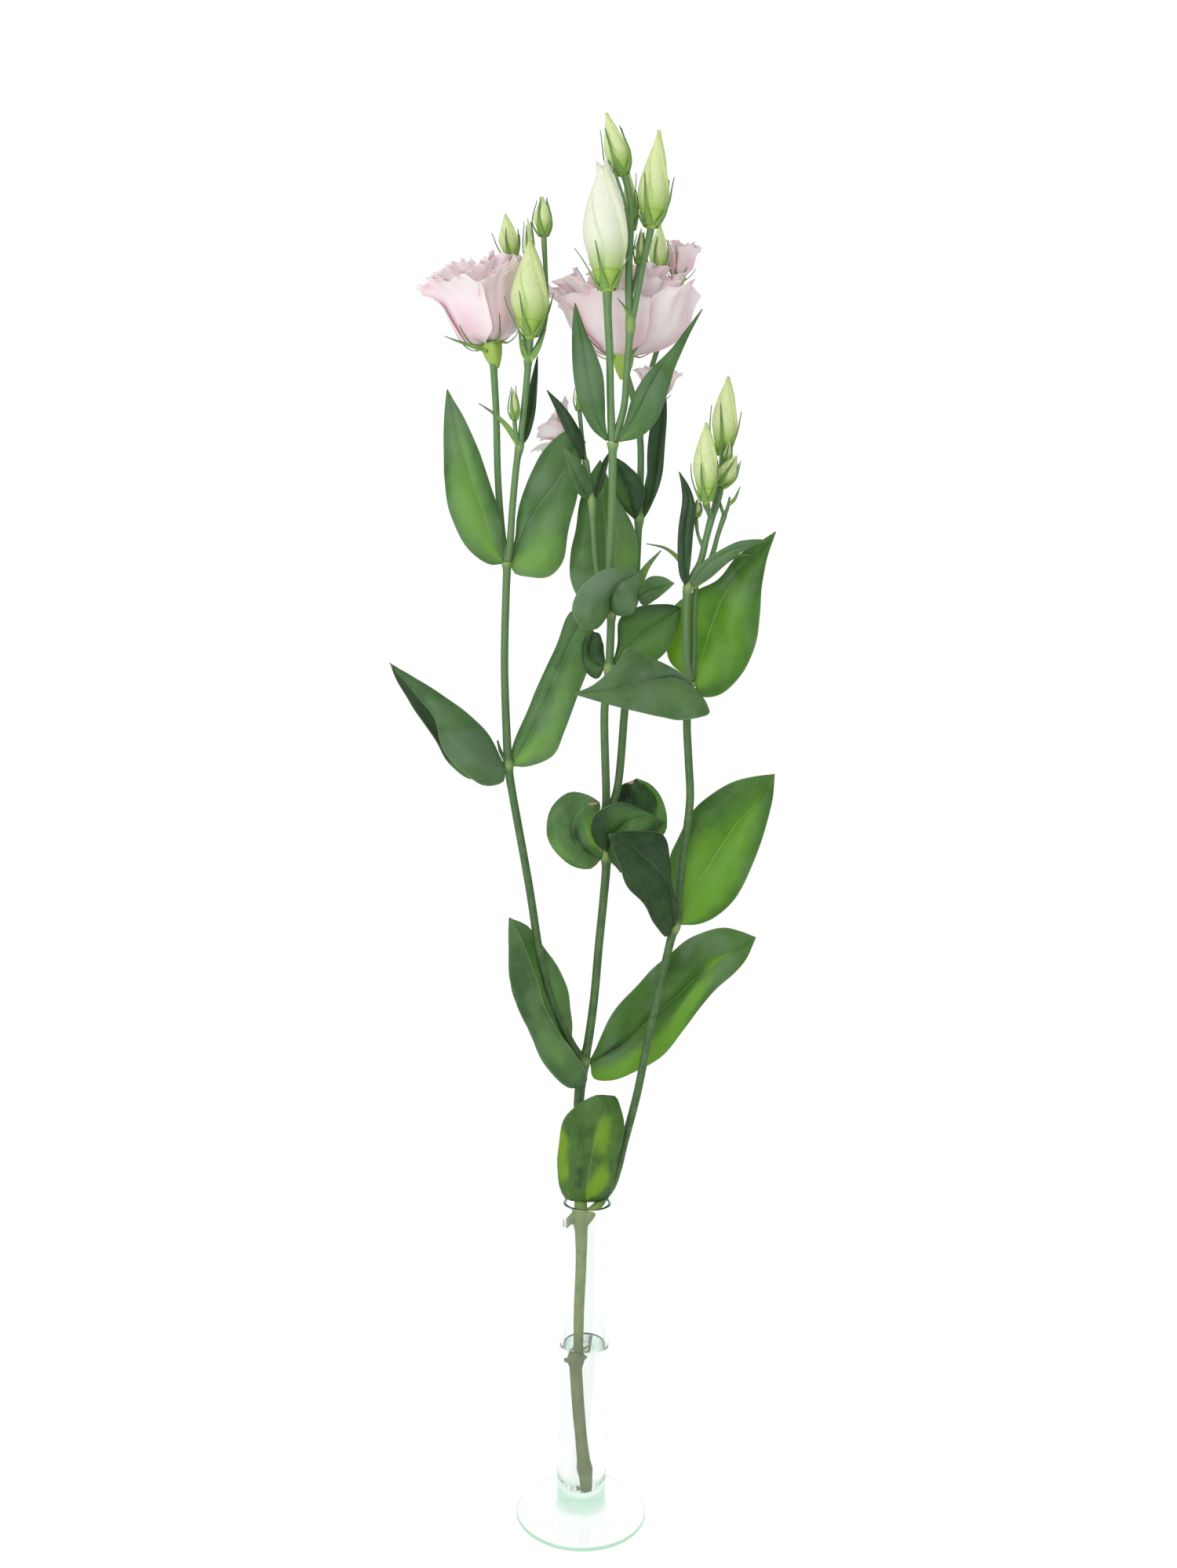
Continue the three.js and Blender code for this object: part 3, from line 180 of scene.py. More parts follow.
# Each stalk's rows are [across, up, depth, radius], from its root to its end.
STEMS: dict[str, Rows] = {
    "main": ((2.2, 13.2, 0, 1.9), (2, 20, 0, 2.3), (1.6, 25, 0, 2.8), (1.2, 30, 0, 2.3), (0.4, 41, 0, 2.1),
        (-0.4, 54, 0, 2.2), (-1.3, 75, 0, 2.3), (-1.4, 79.5, 0, 3.2), (-1.2, 84, 0, 2.4),
        (-0.9, 102, 0, 2.6), (0.2, 128, 0, 2.7), (0.3, 143, 0, 3.1), (0, 151, 0, 4.2), (0, 157, 0, 3.2),
        (-0.8, 180, 0, 2.6), (-0.8, 211, 0, 2.6), (0.7, 225, 0, 2.9), (1.6, 231, 0, 3.5),
        (1.8, 234, 0, 2.8)),
    "scar_right": ((-1, 79, 0, 1.4), (2, 81.5, -0.6, 1.1), (4, 84.4, -0.8, 0.5)),
    "scar_left": ((-2, 78.6, 0, 1.7), (-5.6, 79.2, 0, 1)),
    "rim_stub": ((-0.6, 152, 0, 2.6), (-4, 150.4, -1, 2.5), (-6.6, 148.4, -1, 1.8), (-7.4, 146, -1, 0.9)),
    "right": ((0.6, 146.4, 0, 2.2), (3.6, 151.8, 0, 2.9), (7.4, 155.4, 0, 2.4), (12.2, 161.6, -1, 2.1),
        (16, 167, -1.5, 2), (19, 175.6, -2, 2), (21.8, 187.2, -3, 2), (28.8, 214, -4, 2), (35.2, 246, -6, 2),
        (43.2, 280.8, -5, 2), (46.4, 294, -4, 2.1), (48, 299, -4, 2.9), (49.2, 304, -4, 2.1),
        (51.8, 333, -3, 2), (54.2, 349, -2, 2), (55.8, 365, -1, 2), (55, 384, 0, 2), (54.2, 404, 0, 2),
        (55.4, 419, 0, 2.1), (56, 424, 0, 2.9)),
    "right_front": ((55.8, 424, 0, 2.2), (54.2, 434, -1, 1.9), (53.8, 450, -2, 1.9), (54, 466, -2, 2),
        (54.8, 472.4, -2, 2.6), (57.5, 478, -2, 1.9), (61, 485, -2, 1.7), (64.2, 498, -2, 1.7),
        (66.8, 508, -2, 1.9)),
    "right_back": ((56.4, 424, 1, 1.6), (57.6, 440, 3, 1.4), (57.8, 460, 3, 1.4), (60, 477, 2.6, 1.3),
        (66.4, 487, 2, 1.3), (70, 499, 2, 1.2), (73.4, 509, 2, 1.4)),
    "right_fork": ((73.2, 508.6, 2, 1), (71.6, 513, 2.4, 0.8), (70.8, 517, 3, 0.5)),
    "right_fork_end": ((73.4, 508.6, 2, 1), (75, 513, 1.4, 0.9), (76, 518.2, 1, 0.5)),
    "left": ((1.4, 230, 0, 2.4), (-4.4, 239, -1, 2), (-14, 258.8, -2, 2), (-20, 280.8, -3, 2),
        (-26.4, 320.4, -4, 2), (-34.4, 364.8, -5, 2), (-36.4, 377, -5, 2.1), (-36.9, 381.4, -5, 2.8),
        (-37.2, 386, -5, 2.1), (-38.8, 431.6, -6, 1.9), (-38, 470, -6, 1.9), (-37.6, 480, -6, 2),
        (-37.6, 485, -6, 2.8)),
    "left_axil": ((-37.6, 383, -5, 1.3), (-40.6, 388, -5, 0.9), (-42.4, 394, -5, 0.5)),
    "left_bloom_stalk": ((-38, 485, -6, 2), (-40.2, 500.8, -4, 1.8), (-42.2, 528.4, 0, 1.7),
        (-43, 560, 3, 1.7), (-44.2, 582, 5.6, 1.8), (-44.4, 588, 6, 2.4)),
    "left_shoot": ((-37.2, 485, -6, 2), (-36.2, 492, -7, 1.8), (-34.8, 512.6, -8, 1.7),
        (-32.4, 537, -9, 1.7), (-31.2, 543.6, -9, 2.3), (-30.4, 550, -9, 1.6), (-28.4, 568, -10, 1.6),
        (-27, 583, -11, 1.7), (-26.8, 588, -11, 2.2), (-26, 598, -12, 1.9)),
    "left_young_stalk": ((-31.4, 544.6, -10, 1.2), (-33, 550.5, -11.6, 1), (-33.6, 555.6, -12, 1.1)),
    "left_small_stalk": ((-27, 588, -10, 1.3), (-28.6, 598, -2.5, 1.1), (-28, 611, 1, 1.1),
        (-27, 623, 9, 1.1), (-29, 632, 20, 1.1), (-34, 636.6, 26, 1.3)),
    "left_thin_stalk": ((-26.6, 588, -9.5, 1.2), (-25, 600, 0, 1), (-24.6, 620, 1.4, 1),
        (-25.8, 635, -1.4, 1.1)),
    "left_upper_stalk": ((-26.2, 588, -10, 1.3), (-20, 600, -3, 1.1), (-17.4, 613, 0.6, 1.1),
        (-17.8, 632, -0.4, 1.1), (-18.7, 649, -2, 1.4)),
    "middle": ((1.8, 230.6, 0, 2.6), (3.6, 239, 0, 2.2), (6.8, 262, 0, 2.1), (9.2, 288.8, 0, 2.1),
        (11.6, 312.4, 0, 2.1), (13, 329, 0, 2.2), (13, 335, 0, 3.1), (12.8, 345, 0, 2.6),
        (12.8, 356, 0, 3), (13, 360, 0, 2.4)),
    "front": ((12.8, 357, -0.6, 2.2), (13, 366, -2, 2), (12.2, 410, -6, 2), (14, 425, -8, 2),
        (14.6, 431, -8.6, 2.8), (14.8, 436, -9, 2), (15.5, 454, -10, 2), (15.6, 459, -10.5, 2.8),
        (15.4, 464, -11, 2), (14.8, 483, -14, 1.9), (16, 516.4, -18, 1.9), (16.3, 540, -21.4, 2),
        (16.4, 546, -22, 3)),
    "back": ((13.2, 357, 0.6, 2.1), (17.8, 366, 2.4, 2), (22.4, 409, 7, 2), (26.4, 461, 11, 2),
        (27.4, 467, 11.5, 2.7), (28, 473, 12, 1.9), (29.4, 501, 14, 1.9), (29.8, 507, 14.5, 2.6),
        (30, 513, 15, 1.8), (30.4, 547, 17, 1.7), (27, 568, 19, 1.7), (22.6, 582, 20, 2)),
    "side_shoot": ((15, 459.5, -9, 1.6), (10.6, 471, -8, 1.5), (8, 483, -7.6, 1.5),
        (6.6, 500, -8.4, 1.4), (5.6, 516.6, -9.4, 2), (4.6, 524, -9.6, 1.3), (2.4, 537, -10, 1.7)),
    "side_bloom_stalk": ((2.4, 536.6, -9.6, 1.3), (1.2, 541, -3, 1.2), (-0.8, 544.6, 3, 1.4)),
    "side_bud_stalk": ((2, 537.4, -10, 1.2), (0.6, 550, -9.4, 1), (-0.4, 560, -9, 1.1)),
    "white_bud_stalk": ((16, 546.4, -22.6, 2), (15.2, 569, -25, 1.8), (14.8, 591.6, -27.5, 1.8),
        (13.8, 612, -29.6, 1.9), (13.6, 622, -30, 2.3)),
    "upper": ((17, 546.4, -22, 2), (22, 563.6, -22, 1.7), (23.4, 580.4, -22, 1.7),
        (24.8, 598, -22, 1.8), (25.4, 606, -22, 2.6), (24.6, 614, -22, 1.6), (24.4, 636, -22, 1.6),
        (25.6, 656, -22, 1.5), (25.4, 668, -21.4, 1.5), (22.8, 680.6, -21, 1.7)),
    "right_bud_stalk": ((25.8, 606.6, -21.4, 1.7), (29.2, 623, -20, 1.5), (31.8, 636.4, -19, 1.5),
        (35.4, 653, -18, 1.8)),
    "hidden_bud_stalk": ((25.6, 607, -21, 1.3), (25.7, 620, -16.6, 1), (25.4, 636, -15, 1),
        (25.8, 652, -14.5, 1.3)),
    "cluster_stalk": ((25.7, 622, -16.4, 1), (28, 630, -15.2, 0.9), (29.2, 635.4, -15, 1)),
    "beside_top": ((25.4, 656, -22.6, 0.9), (22.4, 668, -25.4, 0.8), (18, 682, -29, 0.7),
        (14, 690, -30, 0.4)),
    "far_stalk": ((30.4, 546, 17, 1.6), (31, 566, 36, 1.4), (38, 590, 50, 1.4), (43, 606, 52, 1.7),
        (46.6, 618, 55, 1.5), (48.6, 624, 57, 1.8)),
    "far_bud_stalk": ((43, 605, 52, 1.4), (40.4, 618, 50, 1.2), (39.2, 628.6, 48, 1.4)),
    "low_right_stalk": ((30, 508, 15.4, 1.6), (35, 530, 21, 1.3), (37.4, 552, 23.4, 1.3),
        (37.6, 562, 24, 1.7)),
    "second_stalk": ((66.8, 507.6, -2, 1.7), (65, 511.5, -6.6, 1.5), (64.1, 514, -9.6, 1.8)),
    "low_bud_stalk": ((66.9, 507.6, -2, 1.6), (69.8, 515, -0.6, 1.4), (71.2, 521.4, 0, 1.6)),
    "tall_stalk": ((67, 508, -1.4, 1.4), (69, 518, 6, 1.3), (71, 529, 10.4, 1.2),
        (72.2, 537.6, 12, 1.5)),
    "third_stalk": ((69.6, 521.6, 7.6, 0.9), (72.6, 528, 9.4, 0.8), (73.8, 532.6, 8.6, 1)),
    "tiny_stalk": ((62.6, 492, -2.6, 1), (59.8, 499, -3, 0.8), (58.9, 506, -3, 1)),
}

LEAVES: tuple[Leaf, ...] = (
    Leaf("leaf_rim", 1.2, Tint.SUNNY,
        rib=((2, 158.6, -4.8), (3.6, 170, -10), (7.6, 191, -15), (12.6, 206, -15), (14.6, 213, -13.6)),
        right=((13.6, 160.4, -4), (17, 168.6, -7), (19.2, 182.6, -10), (22, 198, -11), (20.8, 206, -11),
            (17.8, 212.6, -12)),
        left=((-8.2, 160.2, -4), (-11.6, 177, -8), (-10.8, 190, -12), (-9, 200, -13), (-3, 207, -14),
            (8, 213.2, -14)),
        lit=((0.34, 0.5, 0.12, 1.1), (0.14, 0.2, 0.1, 1.2), (0.24, 0.35, 0.1, 0.6), (0.52, -0.9, 0.07, 1.6),
            (0.36, -0.82, 0.08, 1.6), (0.7, 0.2, 0.18, 0.8), (0.3, -0.25, 0.13, -1), (0.1, 0.9, 0.12, -1.1),
            (0.6, -0.35, 0.1, -0.7), (0.5, 0.95, 0.08, -0.6))),
    Leaf("leaf_lower_left", 0.8, Tint.LEAF,
        rib=((1.2, 218, -3.4), (-6, 217.4, -8), (-17, 227.6, -8), (-28.4, 250.4, -7), (-35, 266.4, -6),
            (-36.6, 285, -5), (-36.4, 303.6, -4)),
        right=((-4.4, 226, -1), (-4.6, 236, 5), (-3.6, 246, 7), (-5, 257, 7), (-10, 275, 6),
            (-18.4, 288, 4), (-27, 299.4, 0)),
        left=((3.4, 222, -8), (1, 228.6, -12), (-9.6, 242, -15), (-18, 257.8, -15), (-22.8, 273.6, -14),
            (-27, 285.2, -11), (-31.6, 296, -8)),
        lit=((0.5, 0.6, 0.3, 0.4), (0.3, -0.3, 0.2, 0.5), (0.98, 0.5, 0.04, 1), (0.4, 0.1, 0.2, -0.35),
            (0.05, 0, 0.08, -0.6)),
        dry=((1, 0.3, 0.025, 1.1),)),
    Leaf("leaf_lower_right", 1.6, Tint.BRIGHT,
        rib=((4.6, 229.8, 1), (22, 239, 6), (32.6, 249.4, 8), (52.4, 266.6, 9), (67, 281, 8), (80, 287, 6),
            (89.2, 293.6, 3)),
        right=((6.4, 221.8, 1), (16.4, 220.8, 3), (28, 225.2, 4), (41, 232.4, 5), (53, 247, 5),
            (68.4, 266.4, 5), (78.4, 275.4, 5), (84, 282, 4)),
        left=((7, 235.2, 0), (10.6, 243.2, 2), (18, 257.2, 4), (32.4, 274.4, 5), (46.8, 286, 5),
            (58.4, 294, 4), (72.8, 298.4, 3), (81, 297, 3)),
        lit=((0.18, 0.8, 0.18, 1.1), (0.42, 0.8, 0.17, 0.7), (0.62, 0.5, 0.14, 1), (0.78, 0, 0.1, 0.9),
            (0.12, -0.1, 0.14, -0.8), (0.4, 0, 0.12, -0.5), (0.6, -0.7, 0.2, -0.4), (0.5, -0.3, 0.08, 0.6))),
    Leaf("leaf_branch_right", 1.2, Tint.BRIGHT,
        rib=((50.2, 300.2, -1.6), (55.6, 315.6, 3), (63.4, 327.2, 6), (77.6, 349, 8), (89, 362, 7),
            (98.8, 376.8, 4)),
        right=((59.6, 300.2, 0), (68, 303.6, 2), (79, 313.6, 4), (87.8, 331.2, 5), (93, 345.2, 5),
            (97.6, 363, 4)),
        left=((47.4, 313, 3), (45.4, 333.6, 6), (48.6, 342.6, 7), (57.6, 358.6, 8), (66, 365.8, 8),
            (76.2, 372.2, 7), (88, 375.6, 5)),
        lit=((0.1, 0.4, 0.2, 1.2), (0.25, -0.3, 0.25, 0.9), (0.5, 0.4, 0.3, 0.7), (0.8, 0, 0.25, 0.4))),
    Leaf("leaf_branch_left", 1.4, Tint.DARK,
        rib=((47, 299, -7.2), (46, 312, -12), (42, 325, -18), (33, 334, -22), (22, 342.6, -27),
            (14.2, 346, -31)),
        right=((50, 306, -9), (47.4, 318, -13), (45.4, 334, -17), (41, 346.6, -20), (30, 347.8, -24),
            (19, 347.4, -29)),
        left=((44.6, 293.4, -9), (37.6, 300.2, -13), (31.2, 311.8, -18), (24, 319, -22),
            (19.6, 331.2, -26), (16, 340, -29))),
    Leaf("leaf_middle_left", 2.3, Tint.LEAF,
        rib=((10.4, 334, -2.4), (3, 337, -7), (-3, 344, -11), (-3.4, 353, -12), (1.6, 360, -13),
            (9.6, 362.4, -13)),
        right=((10.4, 338, -5), (9, 343, -8), (7.6, 350, -9), (8.6, 356, -10), (10, 359.6, -11.4)),
        left=((6, 328.6, -5), (-4, 329.8, -7), (-13, 337.6, -9), (-17, 348, -10), (-15, 359.6, -11),
            (-6, 367.4, -12), (4, 366.2, -13)),
        lit=((0.6, 0.9, 0.3, 0.8), (0.3, 0.9, 0.2, 0.7), (0.35, -0.8, 0.18, 0.6), (0.5, 0.1, 0.14, -1),
            (0.25, 0.2, 0.14, -0.9), (0.7, -0.5, 0.2, -0.5)),
        dry=((1, 0, 0.1, 1.9), (0.04, -0.9, 0.07, 1), (0.14, 0.95, 0.06, 0.8))),
    Leaf("leaf_middle_front", 2, Tint.DARK,
        rib=((14.2, 337, -3.4), (16, 345, -12), (23, 352, -18), (34, 355.6, -18), (43, 352, -15)),
        right=((16.4, 330, -7), (19, 326, -11), (27, 334, -16), (37, 345, -17)),
        left=((8, 341, -10), (5, 350, -17), (8, 358, -21), (18.4, 362.4, -21), (30, 359.4, -18)),
        lit=((0.75, -0.3, 0.4, 0.75), (0.5, 0.7, 0.3, 0.5))),
    Leaf("leaf_middle_back", 1.9, Tint.DARK,
        rib=((14.8, 357.6, 3.4), (27, 353, 8), (36.6, 355, 11), (38, 365, 12), (28.4, 374.6, 11)),
        right=((20, 346, 5), (34, 341, 8), (43, 347, 10), (44, 356, 11), (41.6, 364, 12), (36, 371.4, 12)),
        left=((15.4, 354, 5), (17.6, 363.2, 8), (20.6, 370.6, 10)),
        lit=((0.55, 0.9, 0.4, 1.3), (0.8, 0.6, 0.25, 0.9), (0.6, -0.8, 0.2, -0.8)),
        dry=((1, 0, 0.08, 1.6), (0.88, -0.9, 0.06, 1.2))),
    Leaf("leaf_left_low_left", 0.8, Tint.LEAF,
        rib=((-39, 381.4, -6.6), (-48, 398, -12), (-60.8, 410, -16), (-79.2, 422.6, -15),
            (-97.4, 433.4, -10)),
        right=((-43.4, 378, -4), (-55, 374.4, -6), (-66.6, 381.8, -8), (-78, 399.6, -9),
            (-87.4, 413.6, -10), (-94.4, 426, -10.4)),
        left=((-39, 373.6, -10), (-48, 370.8, -15), (-60, 377.6, -19), (-70, 389, -21), (-75, 406, -20),
            (-83, 416, -17), (-94, 429.6, -12)),
        lit=((0.92, 0.9, 0.12, -1.5), (0.76, 0.9, 0.14, -1.6), (0.6, 0.9, 0.14, -1.5),
            (0.45, 0.9, 0.1, -1))),
    Leaf("leaf_left_low_right", 1, Tint.LEAF,
        rib=((-35.4, 381.4, -3.4), (-28, 394, -4), (-19, 412, -3), (-10, 434, 0), (-1, 452, 3),
            (4.6, 463, 5)),
        right=((-27.6, 380.6, -5), (-14, 386.4, -6), (-8.4, 398.4, -5), (-2, 415.6, -2), (4, 431.6, 1),
            (6.6, 447, 3)),
        left=((-34.6, 391.8, -2), (-28, 407, -1), (-20, 425, 1), (-12, 444, 3), (-5.2, 459.6, 4)),
        lit=((0.06, 0.4, 0.14, 0.8), (0.3, 0.6, 0.22, 0.5), (0.6, 0.5, 0.2, 0.3))),
    Leaf("leaf_left_high_left", 0.8, Tint.LEAF,
        rib=((-39, 484.6, -7), (-45, 496.4, -11), (-50.8, 513.2, -13), (-57.4, 533, -13), (-63.2, 553, -10),
            (-68, 573, -5)),
        right=((-40, 493.2, -9), (-40.2, 506.4, -9.4), (-46.6, 526.4, -10), (-53.4, 544.8, -10),
            (-60, 559.6, -8.6), (-65, 568, -6.6)),
        left=((-46, 483.6, -8), (-57.4, 491.6, -10), (-65.8, 508.2, -11), (-69.4, 528, -11),
            (-70, 548, -9), (-69.2, 563.8, -6.6)),
        lit=((0.35, -0.4, 0.3, 0.8), (0.05, -0.2, 0.12, 0.7), (0.65, 0.2, 0.2, 0.5))),
    Leaf("leaf_left_high_right", 1, Tint.LEAF,
        rib=((-36, 484.4, -5), (-31, 496, -4), (-24, 510, -4), (-14, 523, -4), (-5, 538, -2),
            (-1.4, 552.4, 0)),
        right=((-34, 479.4, -7), (-26, 477.4, -9), (-16, 477.4, -10), (-9, 485.6, -10), (-6.6, 500, -8),
            (-2, 517, -5), (0.4, 536, -2.4), (0, 547, -0.8)),
        left=((-33.4, 498, -2), (-32.4, 508, -2), (-27.6, 524, -1.6), (-20, 540.6, -1), (-10, 550.6, -0.4),
            (-4.6, 552.8, 0)),
        lit=((0.12, 0.6, 0.2, 0.6), (0.35, 0.6, 0.22, 0.4))),
    Leaf("leaf_top_left", 0.6, Tint.LEAF,
        rib=((13.6, 547, -23.6), (8, 560, -29), (4.6, 578, -33), (1, 597, -33), (-2.8, 617, -30)),
        right=((12.6, 556, -27), (12.4, 568, -30), (11.4, 580, -32), (7.4, 592, -33), (2.2, 604, -32)),
        left=((6.4, 552, -25), (0.4, 562.8, -28), (-3.4, 578.8, -31), (-4.4, 593, -31.6), (-4.2, 607, -31)),
        lit=((0.05, -0.3, 0.12, 0.4),)),
    Leaf("leaf_top_right", 0.8, Tint.LEAF,
        rib=((19, 546.6, -24), (28, 560, -28), (36, 576, -30.6), (47, 594, -30), (62, 614, -26)),
        right=((30.6, 548.8, -25.6), (39, 557.6, -27), (44, 570, -29), (47.6, 583, -29.6), (55, 600, -28)),
        left=((22.6, 556.8, -26), (26, 568, -28), (34, 581, -30), (45, 592.6, -30), (55, 604.6, -28)),
        lit=((0.05, 0.4, 0.12, 0.5),)),
    Leaf("leaf_right_big", 1, Tint.BRIGHT,
        rib=((57.6, 423, 2), (60.6, 432, 5), (65, 447, 9), (71.4, 465, 9.4), (81, 480, 7), (92, 491, 2),
            (99.4, 500.4, -3)),
        right=((60, 416.8, 1), (70, 417, 1.4), (80, 425, 2), (87.8, 439.2, 3), (91.6, 458, 4),
            (92.6, 473, 3), (95, 487, 1)),
        left=((52.2, 427.6, 5.6), (45.4, 434.4, 8), (43.6, 444, 9), (47, 461.6, 10), (58, 470, 10),
            (70, 476, 9), (79.6, 487.8, 6), (90, 494.6, 1.6)),
        lit=((0.04, 0.3, 0.14, 1.2), (0.3, -0.7, 0.28, 1), (0.3, 0.5, 0.28, 0.5), (0.55, 0.3, 0.2, 0.4))),
    Leaf("leaf_right_front", 0.8, Tint.PALE,
        rib=((56.6, 422, -3.6), (47, 426.6, -16), (36, 424.6, -30), (22, 421, -42), (-3.8, 417.8, -54)),
        right=((51, 428.4, -14), (42.4, 433.4, -25), (30, 438.6, -37), (23.6, 441.4, -42),
            (17.4, 432.6, -46), (6, 422, -51)),
        left=((61, 417.6, -5), (65.6, 408.4, -10), (60, 405.4, -17), (46, 404.8, -28), (30, 408.4, -39),
            (10, 413.6, -49)),
        lit=((0.3, -0.5, 0.25, 0.3),)),
    Leaf("leaf_front_low_right", 1, Tint.DARK,
        rib=((16.6, 432.4, -7.6), (27, 444, -4), (38, 453, -2), (51, 461.4, 0)),
        right=((29, 430.4, -5), (41, 436.6, -4), (47, 445, -3), (50.4, 454.6, -1.6)),
        left=((18.8, 443, -5), (19.4, 455.6, -6), (29, 462, -6), (40, 463.4, -4), (47, 463.2, -2)),
        lit=((0.5, 0.2, 0.6, 1),)),
    Leaf("leaf_front_low_left", 0.5, Tint.DARK,
        rib=((12.6, 432, -7.6), (7, 433.6, -4.4), (4, 440, -3), (6.6, 449.4, -4)),
        right=((12, 438, -5), (11.4, 444, -5), (9.4, 448.6, -4.6)),
        left=((8.4, 425.4, -5), (3, 428.6, -4), (0.6, 437, -3), (2, 446, -3)),
        lit=((0.3, -0.3, 0.3, 0.4),)),
    Leaf("leaf_front_curled", 1, Tint.PALE,
        rib=((15, 461, -12.6), (15, 467, -20), (19, 474, -25), (30.4, 480, -23)),
        right=((18.6, 457.8, -15), (23, 457, -18), (27.4, 460, -21), (28.6, 468, -23.4), (30, 476, -24)),
        left=((12.6, 456, -16), (8.6, 451, -21), (2, 450.6, -25), (-3.6, 456.6, -28), (-3.6, 466, -30),
            (2, 474.4, -31), (11, 480.6, -30), (23, 482, -27)),
        lit=((0.2, -0.6, 0.2, 0.3),)),
    Leaf("leaf_back_right", 0.6, Tint.PALE,
        rib=((29, 467.2, 9.6), (36, 471, 2), (47.6, 474.2, -8)),
        right=((31.6, 463, 6), (38, 465.4, 0), (43.6, 470, -5)),
        left=((31, 473.6, 6), (36.6, 477.8, 0), (43, 477, -5))),
    Leaf("leaf_front_upright", 1, Tint.LEAF,
        rib=((14.8, 461.6, -8.4), (13.4, 478, 0), (12.6, 503, 3.4), (10, 537, 3)),
        right=((25, 463, -3), (28.4, 480, 0), (28.6, 497, 2), (25, 507, 3), (19, 517, 3), (13.6, 529, 3)),
        left=((2, 463, -4), (-5.2, 476, -1), (-5, 490, 1), (-2.4, 502, 2), (-0.4, 516, 2.6),
            (4.6, 529, 3)),
        lit=((0.3, 0.6, 0.3, 0.5), (0.85, 0, 0.1, 1))),
    Leaf("leaf_side_left", 0.4, Tint.LEAF,
        rib=((4, 517.4, -10.6), (-1, 526, -14.4), (-5, 535, -16), (-8.8, 543.8, -16)),
        right=((5.6, 523, -12.6), (3.8, 529, -14), (-2, 538.6, -15.6)),
        left=((-0.4, 519, -12), (-5.6, 527.6, -14), (-8.6, 538, -15))),
    Leaf("leaf_side_right", 0.2, Tint.DARK,
        rib=((7.2, 518, -10), (9.8, 526, -10.6), (12, 534, -10), (14.4, 540.6, -9)),
        right=((10.4, 521.4, -11), (12.4, 528.6, -10.8), (14, 535.4, -10)),
        left=((6.6, 523, -11), (8.4, 529.6, -11), (11.4, 536.6, -10.4))),
    Leaf("leaf_side_narrow", 0.4, Tint.DARK,
        rib=((1.2, 537.6, -11.6), (-4, 548, -15), (-10, 560, -16), (-17.2, 572.6, -15)),
        right=((1.6, 547, -14), (-2, 555, -15.6), (-9, 565, -16)),
        left=((-3, 543.6, -13), (-9.2, 554.6, -15), (-14, 565.4, -15.6))),
    Leaf("leaf_back_dark", 0.6, Tint.DARK,
        rib=((28, 507, 13), (25, 518, 11), (21.4, 528, 10.6), (17, 538.8, 10)),
        right=((31, 513, 10.4), (32.8, 520.4, 9.4), (31, 527, 9), (24, 534.4, 9.4)),
        left=((22, 512, 11.4), (16.4, 520, 11), (14.2, 529, 10.6)),
        lit=((0.5, -0.6, 0.3, 0.5),)),
    Leaf("leaf_back_outer", 0.6, Tint.DARK,
        rib=((31, 506.6, 15.6), (36.6, 520, 15), (39.6, 540, 14), (41.6, 560, 12), (42.6, 576, 9)),
        right=((35, 511.6, 14), (41, 527.6, 13), (43.2, 545, 12.6), (44, 563, 10)),
        left=((33.6, 522, 14), (33.8, 540, 13), (36, 557, 12), (40, 570, 10)),
        lit=((0.1, 0.3, 0.1, 0.8),)),
    Leaf("leaf_shoot_left", 0.4, Tint.DARK,
        rib=((54, 473, -3.6), (52.6, 488, -6), (53.4, 505, -7), (55.2, 517, -7), (52.8, 525.6, -6),
            (50.2, 531, -5)),
        right=((55.6, 480.4, -6.4), (57.2, 497.8, -7), (58.4, 513, -7), (55.6, 523, -6.4)),
        left=((50.8, 477, -5), (49.4, 488, -6), (49.8, 502, -7), (51.8, 517, -6.6), (51, 526, -5.6))),
    Leaf("leaf_shoot_right", 0.4, Tint.LEAF,
        rib=((56, 473, -4), (62, 481.6, -7), (73, 489.6, -8), (85, 494, -8), (96.6, 495.8, -6)),
        right=((60.4, 474, -5), (67.2, 479, -7), (79.6, 488.6, -8), (90, 494, -7)),
        left=((57.6, 480, -6.6), (64.7, 487, -8), (79.6, 495.2, -8.6), (90, 496.6, -7.4)),
        lit=((0.5, 0, 0.4, 0.4),)),
    Leaf("leaf_left_narrow", 0.3, Tint.DARK,
        rib=((-30, 545, -7.4), (-26.6, 557, -4), (-23.6, 573, -3.4), (-22, 590, -4)),
        right=((-26.4, 549, -5.6), (-23.4, 560, -4), (-22, 575, -3.6)),
        left=((-29.6, 553, -5), (-28.2, 565, -4), (-25, 579, -4))),
)

